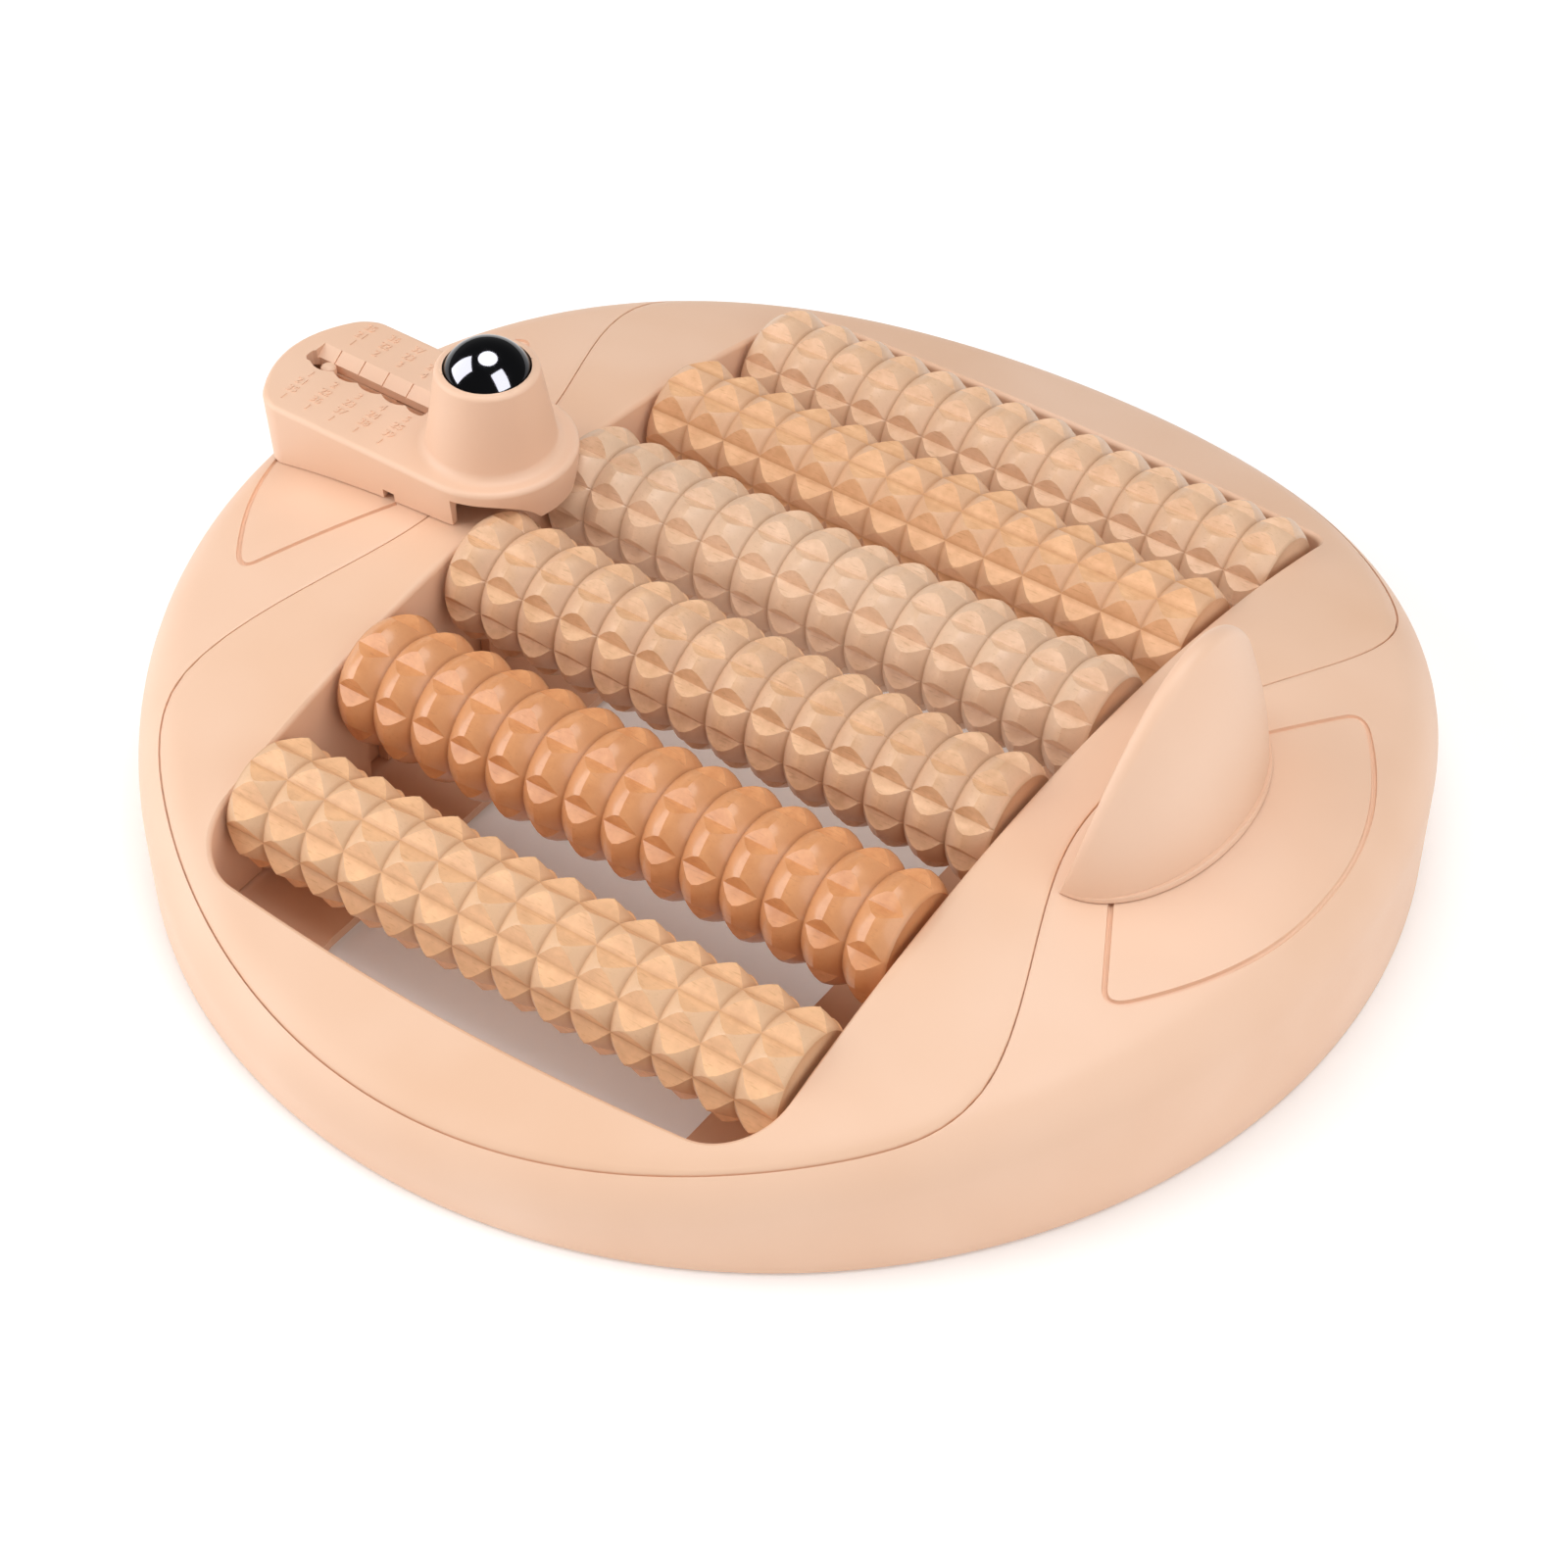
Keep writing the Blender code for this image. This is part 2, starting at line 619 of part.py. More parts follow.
def cradle_outline():
    """Comb in the YZ plane with a round notch under each axle."""
    radius = AXLE_RADIUS + FIT
    end = axle_place(ROLLER_COUNT - 1)[0] + CRADLE_END
    outline = [(end, FRAME_FOOT), (end, axle_place(ROLLER_COUNT - 1)[1])]
    for i in reversed(range(ROLLER_COUNT)):
        y, z = axle_place(i)
        turns = [-math.pi * step / 6 for step in range(7)]
        outline += [(y + radius * math.cos(a), z + radius * math.sin(a)) for a in turns]
    return outline + [(-end, axle_place(0)[1]), (-end, FRAME_FOOT)]


def build_cradles():
    """Two cradles outside the frame walls; they hold the axle ends from below."""
    low = CRADLE_INNER_X
    high = CRADLE_INNER_X + CRADLE_THICKNESS
    for name, near, far in (("axle_cradle_left", -high, -low), ("axle_cradle_right", low, high)):
        add_part(name, side_prism(name, cradle_outline(), near, far), "frame")


def roller_mesh(name, cut):
    """Wooden roller along X: rings between round grooves, crossed by straight V-cuts, with a bore."""
    bm = bmesh.new()
    half = ROLLER_LENGTH / 2
    step = 2 * math.pi / cut.count
    bore = (AXLE_RADIUS + FIT) / math.cos(math.pi / cut.count)

    def ring_point(x, radius, angle):
        return bm.verts.new((x, radius * math.cos(angle), radius * math.sin(angle)))

    def circle(x, radius):
        return [ring_point(x, radius, step * i) for i in range(cut.count)]

    grooves = [circle(RING_PITCH * i - half, ROLLER_RADIUS - RING_GROOVE) for i in range(RING_COUNT + 1)]
    for ring in range(RING_COUNT):
        x = RING_PITCH * (ring + 0.5) - half
        left, right = grooves[ring], grooves[ring + 1]
        sharp = cut.half_angle >= step / 2
        floor = [] if sharp else circle(x, ROLLER_RADIUS - cut.depth)
        for i in range(cut.count):
            j = (i + 1) % cut.count
            if sharp:
                apex = ring_point(x, ROLLER_RADIUS, step * (i + 0.5))
                base = (left[i], left[j], right[j], right[i])
                for corner in range(4):
                    bm.faces.new((base[corner], base[(corner + 1) % 4], apex))
                continue
            crest_i = ring_point(x, ROLLER_RADIUS, step * i + cut.half_angle)
            crest_j = ring_point(x, ROLLER_RADIUS, step * (i + 1) - cut.half_angle)
            bm.faces.new((left[i], left[j], crest_j, crest_i))
            bm.faces.new((right[j], right[i], crest_i, crest_j))
            for groove in (left, right):
                bm.faces.new((groove[i], crest_i, floor[i]))
                bm.faces.new((groove[j], crest_j, floor[j]))
    bores = [circle(-half, bore), circle(half, bore)]
    for i in range(cut.count):
        j = (i + 1) % cut.count
        bm.faces.new((bores[0][i], bores[0][j], bores[1][j], bores[1][i]))
        for groove, hole in ((grooves[0], bores[0]), (grooves[-1], bores[1])):
            bm.faces.new((groove[i], groove[j], hole[j], hole[i]))
    return mesh_from(bm, name)


def build_rollers():
    """Rollers and their axles, each with its origin on its own axis."""
    for i in range(ROLLER_COUNT):
        y, z = axle_place(i)
        name = "roller_%d" % (i + 1)
        roller = add_part(name, roller_mesh(name, ROLLER_CUTS[i]), ROLLER_WOODS[i], smooth_angle=0.0)
        roller.location = (0.0, y, z)
        roller.rotation_euler = (ROLLER_TURNS[i], 0.0, 0.0)
        name = "axle_%d" % (i + 1)
        outline = circle_outline(0.0, 0.0, AXLE_RADIUS, AXLE_STEPS)
        axle = add_part(name, side_prism(name, outline, -AXLE_HALF_LENGTH, AXLE_HALF_LENGTH), "steel")
        axle.location = (0.0, y, z)


def along_x(low_x, high_x, steps):
    """Even places along X."""
    return [low_x + (high_x - low_x) * i / steps for i in range(steps + 1)]


def arm_outline(inset):
    """Plan of the arm: round inner end about the cone, straight sides, bulged outer end with round corners."""
    radius = ARM_HALF_WIDTH - inset
    corner = ARM_CORNER - inset
    end_x = ARM_OUTER_X + inset
    sides = along_x(ARM_CONE_X, end_x + corner + ARM_END_BULGE, 5)[1:-1]
    turns = [math.pi * i / 12 - math.pi / 2 for i in range(13)]
    outline = [(ARM_CONE_X + radius * math.cos(a), radius * math.sin(a)) for a in turns]
    outline += [(x, radius) for x in sides]
    turns = [math.pi / 2 * i / 4 for i in range(5)]
    end = [(end_x + corner - corner * math.sin(a), radius - corner + corner * math.cos(a)) for a in turns]
    end += [(end_x, (radius - corner) * share) for share in (0.75, 0.5, 0.25, 0.0)]
    end = [(x + ARM_END_BULGE * (y / radius) ** 2, y) for x, y in end]
    outline += end + [(x, -y) for x, y in reversed(end[:-1])]
    return outline + [(x, -radius) for x in reversed(sides)]


def arm_foot(x, y):
    """Lower edge of the arm: just above the top surface, and level where the rim rolls away under it."""
    angle = math.atan2(y, x)
    radius = min(math.hypot(x, y), oval_radius(angle, RIM_FILLET * ARM_ROLL_SHARE))
    return top_height(angle, radius) + FIT


def build_arm():
    """Sliding arm: hollow box with lips, moulded cone, ball bore and index slot."""
    ceiling = [(x, y, ARM_CEILING) for x, y in arm_outline(ARM_WALL)]
    inner_foot = [(x, y, arm_foot(x, y)) for x, y in arm_outline(ARM_WALL)]
    outer_foot = [(x, y, arm_foot(x, y)) for x, y in arm_outline(ARM_DRAFT)]
    upper = [(x, y, ARM_TOP - ARM_EDGE) for x, y in arm_outline(0.0)]
    bevel = [(x, y, ARM_TOP - ARM_EDGE * 0.3) for x, y in arm_outline(ARM_EDGE * 0.3)]
    top = [(x, y, ARM_TOP) for x, y in arm_outline(ARM_EDGE)]
    rings = [ceiling, inner_foot, outer_foot, upper, bevel, top]
    arm = add_part("slide_arm", stack_loft("slide_arm", rings), "shell")

    low = dome_height(ARM_CONE_X, LIP_INNER) + LIP_LIFT
    lips = []
    for side in (-1, 1):
        near, far = sorted((side * LIP_INNER, side * (ARM_HALF_WIDTH - ARM_WALL / 2 - ARM_DRAFT)))
        outline = box_outline(ARM_OUTER_X + ARM_END_BULGE + ARM_CORNER, ARM_CONE_X, near, far)
        lips.append(prism("arm_lip_%d" % side, outline, low, low + LIP_THICKNESS))
    combine(arm, add_cutter("arm_lips", join_meshes("arm_lips", lips)), "UNION")

    centre = Vector((ARM_CONE_X, 0.0, ARM_TOP))
    flare = [
        (CONE_BASE_RADIUS + CONE_FLARE * (1 - math.cos(a)), CONE_FLARE * (1 - math.sin(a)))
        for a in (math.pi / 2 * i / 3 for i in range(4))
    ]
    rim_radius = CONE_TOP_RADIUS - ARM_EDGE
    profile = [(0.0, CONE_HEIGHT), (rim_radius, CONE_HEIGHT), (CONE_TOP_RADIUS, CONE_HEIGHT - ARM_EDGE)]
    profile += flare
    profile += [(profile[-1][0], -ARM_PLATE / 2), (0.0, -ARM_PLATE / 2)]
    cone = turned("arm_cone", profile, centre, TURN_STEPS)
    combine(arm, add_cutter("arm_cone", cone), "UNION")

    socket = BALL_RADIUS + BALL_FIT
    opening_height = CONE_HEIGHT - BALL_HEIGHT
    highest = math.asin(min(opening_height / socket, 0.95))
    bore = [(0.0, CONE_HEIGHT + ARM_EDGE), (socket * math.cos(highest), CONE_HEIGHT + ARM_EDGE)]
    for i in range(4):
        turn = highest * (1 - i / 3)
        bore.append((socket * math.cos(turn), BALL_HEIGHT + socket * math.sin(turn)))
    bore += [(socket, -ARM_TOP / 2), (0.0, -ARM_TOP / 2)]
    combine(arm, add_cutter("ball_bore", turned("ball_bore", bore, centre, TURN_STEPS)), "DIFFERENCE")

    front = SLOT_FRONT_Y - SCALLOP_DEPTH - SLOT_WALL
    outline = box_outline(SLOT_LEFT - SLOT_WALL, SLOT_RIGHT + SLOT_WALL, front, SLOT_BACK_Y + SLOT_WALL)
    walls = prism("slot_walls", outline, rail_levels()[1] + FIT, ARM_TOP - ARM_PLATE / 2)
    combine(arm, add_cutter("slot_walls", walls), "UNION")
    slot = prism("index_slot", slot_outline(), DOME_HEIGHT, ARM_TOP * 2)
    combine(arm, add_cutter("index_slot", slot), "DIFFERENCE")

    notch = -OPENING_HALF_X - ARM_NOTCH_REACH
    reach = ARM_CONE_X + ARM_HALF_WIDTH + ARM_WALL
    clearances = []
    for i in (ROLLER_COUNT // 2 - 1, ROLLER_COUNT // 2):
        y, z = axle_place(i)
        outline = circle_outline(y, z, ROLLER_RADIUS + ARM_ROLLER_GAP, 40)
        clearances.append(side_prism("roller_clearance_%d" % (i + 1), outline, notch, reach))
    combine(arm, add_cutter("roller_clearance", join_meshes("roller_clearance", clearances)), "DIFFERENCE")

    half = ARM_WINDOW_WIDTH / 2
    wall_inside = -LIP_INNER - LIP_WIDTH / 2
    outline = box_outline(ARM_WINDOW_X - half, ARM_WINDOW_X + half, -ARM_HALF_WIDTH - ARM_WALL, wall_inside)
    foot = arm_foot(ARM_WINDOW_X, -ARM_HALF_WIDTH)
    window = prism("arm_window", outline, 0.0, foot + ARM_WINDOW_HEIGHT)
    combine(arm, add_cutter("arm_window", window), "DIFFERENCE")
    move_origin(arm, centre)
    return arm


def slot_outline():
    """Index slot in plan, from the front edge with its scallops to the straight back edge."""
    front = [(SLOT_LEFT + SLOT_CORNER, SLOT_FRONT_Y)]
    for i in range(SETTING_COUNT * SCALLOP_STEPS):
        x = PIN_X + SETTING_STEP * (i / SCALLOP_STEPS - 0.5)
        share = i % SCALLOP_STEPS / SCALLOP_STEPS
        if x < SLOT_RIGHT - FIT:
            front.append((x, SLOT_FRONT_Y - SCALLOP_DEPTH * 4 * share * (1 - share)))
    side = SLOT_BACK_Y - SLOT_CORNER
    back = [(SLOT_RIGHT, SLOT_FRONT_Y), (SLOT_RIGHT, side), (SLOT_RIGHT - SLOT_CORNER, SLOT_BACK_Y)]
    back += [(SLOT_LEFT + SLOT_CORNER, SLOT_BACK_Y), (SLOT_LEFT, side), (SLOT_LEFT, SLOT_FRONT_Y + SLOT_CORNER)]
    return front + back


def rail_levels():
    """Underside and top of the rail's head."""
    low = dome_height(ARM_CONE_X, LIP_INNER) + LIP_LIFT + LIP_THICKNESS + FIT
    return low, low + RAIL_HEAD


def rail_section(x, foot_half, head_half, head_low, head_high):
    """Section of the rail across its length: foot on the arched top, head at a fixed height."""
    outline = [(y, dome_height(x, y) + FIT) for y in (-foot_half, 0.0, foot_half)]
    outline += [(foot_half, head_low), (head_half, head_low), (head_half, head_high)]
    outline += [(-head_half, head_high), (-head_half, head_low), (-foot_half, head_low)]
    return [(x, y, z) for y, z in outline]


def build_rail():
    """Rail on the shell: stem between the arm's lips, head above them, tongue under the slot."""
    head_low, head_high = rail_levels()
    stem_half = LIP_INNER - FIT
    places = along_x(RAIL_OUTER_X, RAIL_INNER_X, 4)
    head_halves = [LIP_INNER] + [LIP_INNER + RAIL_OVERLAP] * 4
    sections = [rail_section(x, stem_half, half, head_low, head_high) for x, half in zip(places, head_halves)]
    rail = add_part("arm_rail", stack_loft("arm_rail", sections), "frame")
    places = along_x(RAIL_INNER_X - RAIL_HEAD, RAIL_TONGUE_X, 3)
    half = RAIL_TONGUE_HALF
    tongue = [rail_section(x, half - FIT, half, head_low, head_high - FIT) for x in places]
    combine(rail, add_cutter("rail_tongue", stack_loft("rail_tongue", tongue)), "UNION")
    bores = pegs("rail_bores", RAIL_SCREWS, SCREW_HOLE, PLATE_TOP, head_high - RAIL_HEAD / 2)
    combine(rail, add_cutter("rail_bores", bores), "DIFFERENCE")
    pin_hole = pegs("pin_hole", [(PIN_X, PIN_Y)], PIN_RADIUS + FIT, head_low - RAIL_HEAD / 2, ARM_TOP)
    combine(rail, add_cutter("pin_hole", pin_hole), "DIFFERENCE")
    low = head_low - RAIL_HEAD / 2 + FIT
    add_part("index_pin", pegs("index_pin", [(PIN_X, PIN_Y)], PIN_RADIUS, low, ARM_TOP - ARM_EDGE, 10), "shell")


def build_ball():
    """Steel ball and the seat that holds it up in the cone."""
    bm = bmesh.new()
    bmesh.ops.create_uvsphere(bm, u_segments=BALL_STEPS, v_segments=BALL_STEPS * 3 // 5, radius=BALL_RADIUS)
    ball = add_part("steel_ball", mesh_from(bm, "steel_ball"), "ball")
    ball.location = BALL_CENTRE
    cup = BALL_RADIUS + BALL_FIT
    low = -BALL_HEIGHT - ARM_PLATE
    seat_radius = cup - FIT
    lip = math.acos(min((seat_radius - SEAT_LIP) / cup, 1.0))
    profile = []
    for i in range(5):
        turn = -math.pi / 2 + (math.pi / 2 - lip) * i / 4
        profile.append((abs(cup * math.cos(turn)) if i else 0.0, cup * math.sin(turn)))
    profile += [(seat_radius, profile[-1][1]), (seat_radius, low), (0.0, low)]
    seat = add_part("ball_seat", turned("ball_seat", profile, BALL_CENTRE, TURN_STEPS), "frame")
    move_origin(seat, BALL_CENTRE)


def fin_section(share):
    """Section of the fin across its length: inner face, rounded crest, outer face and skirt."""
    y = FIN_HALF_LENGTH * share
    rise = math.sqrt(1 - share * share)
    height = FIN_HEIGHT * (1 - share * share) ** FIN_POINT
    outer = FIN_INNER_X + FIN_DEPTH * rise
    crest = FIN_INNER_X + FIN_LEAN * rise
    edge = FIN_EDGE * rise
    step = FIN_SKIRT_STEP * rise
    skirt = FIN_SKIRT_HEIGHT * rise
    foot_inner = dome_height(FIN_INNER_X, y) + FIT
    foot_outer = dome_height(outer, y) + FIT
    crest_height = foot_inner + height
    points = [(FIN_INNER_X, foot_inner), (crest - edge * 0.7, crest_height - edge), (crest, crest_height)]
    face_low = (outer - step, foot_outer + skirt)
    for along in (0.1, 0.4, 0.7, 1.0):
        x = crest + edge + (face_low[0] - crest - edge) * along
        z = crest_height - edge + (face_low[1] - crest_height + edge) * along
        points.append((x + FIN_BULGE * rise * math.sin(math.pi * along), z))
    points += [(outer, foot_outer + skirt), (outer, foot_outer)]
    return [(x, y, z) for x, z in points]


def build_fin():
    """Arch fin: upright leaf that leans away from the rollers, with a stepped skirt at its foot."""
    turns = [math.pi * (i / 14 - 0.5) * 0.97 for i in range(15)]
    fin = add_part("arch_fin", stack_loft("arch_fin", [fin_section(math.sin(a)) for a in turns]), "shell")
    bores = pegs("fin_bores", FIN_SCREWS, SCREW_HOLE, PLATE_TOP, lambda x, y: dome_height(x, y) + SCREW_DEPTH)
    combine(fin, add_cutter("fin_bores", bores), "DIFFERENCE")


def screw_mesh(name, x, y, head_top):
    """Screw with a low round head below and its shaft pointing up."""
    top = SCREW_DEPTH
    profile = [
        (0.0, top), (SCREW_RADIUS, top - SCREW_RADIUS), (SCREW_RADIUS, 0.0), (SCREW_HEAD_RADIUS, 0.0),
        (SCREW_HEAD_RADIUS * 0.8, -SCREW_HEAD_HEIGHT), (0.0, -SCREW_HEAD_HEIGHT),
    ]
    return turned(name, profile, Vector((x, y, head_top)), SCREW_STEPS)


def build_screws():
    """Screws from below: through the bottom plate, and through the top into rail and fin."""
    for group, places in (("shell_screw", SHELL_SCREWS), ("frame_screw", FRAME_SCREWS)):
        for i, (x, y) in enumerate(places):
            name = "%s_%d" % (group, i + 1)
            add_part(name, screw_mesh(name, x, y, PLATE_BOTTOM - FIT), "steel")
    for group, places in (("rail_screw", RAIL_SCREWS), ("fin_screw", FIN_SCREWS)):
        for i, (x, y) in enumerate(places):
            name = "%s_%d" % (group, i + 1)
            outward = math.copysign(SCREW_HEAD_RADIUS, x)
            lowest = min(dome_height(x + outward, y + dy) for dy in (-SCREW_HEAD_RADIUS, SCREW_HEAD_RADIUS))
            add_part(name, screw_mesh(name, x, y, lowest - WALL - FIT), "steel")


def build_feet():
    """Rubber feet under the bottom plate."""
    radius = oval_radius(FOOT_ANGLE, WALL_DRAFT + WALL + FIT + FOOT_RADIUS * 1.5)
    for i, (x, y) in enumerate(mirrored_places(FOOT_ANGLE, radius)):
        name = "rubber_foot_%d" % (i + 1)
        profile = [
            (0.0, FOOT_HEIGHT), (FOOT_RADIUS, FOOT_HEIGHT), (FOOT_RADIUS, FOOT_HEIGHT * 0.4),
            (FOOT_RADIUS - FOOT_HEIGHT * 0.4, 0.0), (0.0, 0.0),
        ]
        add_part(name, turned(name, profile, Vector((x, y, 0.0)), FOOT_STEPS), "rubber")


def build_carriage():
    """Empty on the arm's slide; the arm, its ball and the ball's seat hang on it."""
    carriage = bpy.data.objects.new("arm_carriage", None)
    PARTS.objects.link(carriage)
    carriage.location = (ARM_CONE_X, 0.0, ARM_TOP)
    for name in ("slide_arm", "steel_ball", "ball_seat"):
        piece = bpy.data.objects[name]
        piece.parent = carriage
        piece.location = piece.location - carriage.location


build_shell()
build_frame()
build_bottom_plate()
build_cradles()
build_rollers()
build_arm()
build_rail()
build_ball()
build_fin()
build_screws()
build_feet()
build_carriage()
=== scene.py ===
"""Foot massage roller: fine shapes, finishes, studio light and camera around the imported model.

Sizes are in metres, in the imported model's frame: the base stands on Z = 0, the rollers lie along X from the
arm's side (-X) to the fin's side (+X), and +Y is the back.
"""

import json
import logging
import math
from dataclasses import dataclass, field
from enum import Enum
from typing import Sequence

import bmesh
import bpy
from mathutils import Matrix, Vector

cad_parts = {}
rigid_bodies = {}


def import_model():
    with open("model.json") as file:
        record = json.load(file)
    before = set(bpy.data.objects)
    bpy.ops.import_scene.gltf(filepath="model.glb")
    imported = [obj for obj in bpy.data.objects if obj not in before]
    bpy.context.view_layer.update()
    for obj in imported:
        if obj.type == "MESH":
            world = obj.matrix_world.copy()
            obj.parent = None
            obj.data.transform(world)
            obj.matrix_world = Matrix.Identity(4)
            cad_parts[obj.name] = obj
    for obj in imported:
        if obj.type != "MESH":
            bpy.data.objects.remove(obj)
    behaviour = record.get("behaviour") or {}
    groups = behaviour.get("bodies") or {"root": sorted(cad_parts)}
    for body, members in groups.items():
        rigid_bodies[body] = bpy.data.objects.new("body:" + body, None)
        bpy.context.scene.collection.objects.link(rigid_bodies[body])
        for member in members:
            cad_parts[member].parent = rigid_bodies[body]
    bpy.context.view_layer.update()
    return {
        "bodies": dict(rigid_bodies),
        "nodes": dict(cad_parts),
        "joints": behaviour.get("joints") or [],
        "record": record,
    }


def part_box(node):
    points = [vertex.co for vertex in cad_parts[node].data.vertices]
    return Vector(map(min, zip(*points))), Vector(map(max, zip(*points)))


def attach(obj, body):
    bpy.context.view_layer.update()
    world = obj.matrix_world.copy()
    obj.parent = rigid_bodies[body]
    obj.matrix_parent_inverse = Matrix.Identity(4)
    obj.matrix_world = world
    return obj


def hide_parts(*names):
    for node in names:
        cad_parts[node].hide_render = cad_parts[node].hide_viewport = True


LOG = logging.getLogger("foot_massage_roller")
MM = 0.001
# Clearance between pieces that fit together.
FIT = 0.0003
QUARTER = math.pi / 2
TURN = 2 * math.pi
ROLLER_COUNT = 6
FOOT_COUNT = 4
SCREW_COUNTS = {"shell": 4, "frame": 4, "rail": 2, "fin": 2}
# The two axles below the arm's inner end.
ARM_AXLES = slice(2, 4)
# Where the middle point of a small rounded edge lies, as a share of its radius.
ROUNDING = 0.3
# A noise texture's values lie mostly between these two.
NOISE_LOW, NOISE_HIGH = 0.3, 0.7
# Width of one band of a wave texture at scale 1: 2 pi / 20.
WAVE_BAND = 0.314
# Sockets of a Mix node that mixes colours.
MIX_SHARE, MIX_A, MIX_B, MIXED = 0, 6, 7, 2

Point = tuple[float, float, float]
Plan = list[tuple[float, float]]
BMesh, Material, Object = bmesh.types.BMesh, bpy.types.Material, bpy.types.Object
Inputs = dict[str | int, object]


class Body(Enum):
    """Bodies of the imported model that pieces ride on."""

    BASE = "base"
    ARM = "arm"
    BALL = "ball"


class Slot(Enum):
    """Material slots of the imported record."""

    SHELL = "peach_plastic"
    INNER = "peach_plastic_inner"
    BEECH = "beech"
    PALE = "pale_beech"
    VARNISHED = "varnished_wood"
    STEEL = "steel"
    BALL = "polished_steel"
    RUBBER = "rubber"


class CutKind(Enum):
    """How a roller's rings are cut: pointed pyramids, round discs with notches, or soft varnished discs."""

    PYRAMID = "pyramid"
    DISC = "disc"
    SOFT = "soft"


# Colour and nodes


def linear(hex_code: str) -> tuple[float, float, float, float]:
    """Turns an sRGB hex colour into linear values.

    Args:
        hex_code: Colour as "#RRGGBB".

    Returns:
        Linear red, green and blue with an alpha of one.
    """
    channels = [int(hex_code[i:i + 2], 16) / 255 for i in (1, 3, 5)]
    lit = [c / 12.92 if c <= 0.04045 else ((c + 0.055) / 1.055) ** 2.4 for c in channels]
    return (lit[0], lit[1], lit[2], 1.0)


def feed(tree: bpy.types.NodeTree, node: bpy.types.Node, inputs: Inputs) -> None:
    """Sets a node's inputs.

    Args:
        tree: Tree that holds the node.
        node: Node whose inputs are set.
        inputs: Values or output sockets by the input's name or number; a socket is linked.
    """
    for name, value in inputs.items():
        if isinstance(value, bpy.types.NodeSocket):
            tree.links.new(value, node.inputs[name])
        else:
            node.inputs[name].default_value = value


def add_node(
    tree: bpy.types.NodeTree, kind: str, inputs: Inputs, output: str | int = 0, **settings: object
) -> bpy.types.NodeSocket:
    """Adds a node with its settings and links.

    Args:
        tree: Tree that gets the node.
        kind: Node type without its first word, such as "TexNoise".
        inputs: Values or output sockets by the input's name or number.
        output: Name or number of the output that is wanted.
        settings: Properties of the node by name.

    Returns:
        The wanted output socket.
    """
    node = tree.nodes.new("ShaderNode" + kind)
    for name, value in settings.items():
        setattr(node, name, value)
    feed(tree, node, inputs)
    return node.outputs[output]


def new_material(name: str) -> tuple[Material, bpy.types.NodeTree, bpy.types.Node]:
    """Makes an empty node material.

    Args:
        name: Name of the material.

    Returns:
        The material, its tree and its Principled shader.
    """
    material = bpy.data.materials.new(name)
    material.use_nodes = True
    tree = material.node_tree
    return material, tree, tree.nodes["Principled BSDF"]


# Finishes


@dataclass(frozen=True)
class MouldedAbs:
    """ABS, injection moulded in a finely spark-eroded tool.

    To the eye it is an even, soft satin skin with broad, faint differences of tone and a grain that only
    breaks up the gloss.
    """

    name: str
    colour: str = "#F2CCB1"
    deep: str = "#ECC2A4"
    roughness: float = 0.46
    gloss_fall: float = 0.05
    gloss_rise: float = 0.06
    ior: float = 1.54
    tone_mm: float = 45.0
    # The real texture is about 0.05 mm; drawn at 0.45 mm so that it shows.
    grain_mm: float = 0.45
    grain_height_mm: float = 0.012
    grain_strength: float = 0.25
    grain_range: tuple[float, float] = (0.25, 0.75)

    def material(self) -> Material:
        """Builds the node material.

        Returns:
            The material.
        """
        material, tree, shader = new_material(self.name)
        place = add_node(tree, "TexCoord", {}, "Object")
        tone = add_node(tree, "TexNoise", {"Vector": place, "Scale": 1 / (self.tone_mm * MM), "Detail": 2.0})
        spread = add_node(tree, "MapRange", {"Value": tone, "From Min": NOISE_LOW, "From Max": NOISE_HIGH})
        tones = {MIX_SHARE: spread, MIX_A: linear(self.colour), MIX_B: linear(self.deep)}
        colour = add_node(tree, "Mix", tones, MIXED, data_type="RGBA")
        fine = {"Vector": place, "Scale": 1 / (self.grain_mm * MM), "Detail": 1.0}
        grain = add_node(tree, "TexNoise", fine)
        gloss = add_node(tree, "MapRange", {
            "Value": grain, "From Min": self.grain_range[0], "From Max": self.grain_range[1],
            "To Min": self.roughness - self.gloss_fall, "To Max": self.roughness + self.gloss_rise,
        })
        relief = {"Height": grain, "Strength": self.grain_strength, "Distance": self.grain_height_mm * MM}
        bump = add_node(tree, "Bump", relief)
        feed(tree, shader, {"Base Color": colour, "Roughness": gloss, "Normal": bump, "IOR": self.ior})
        return material


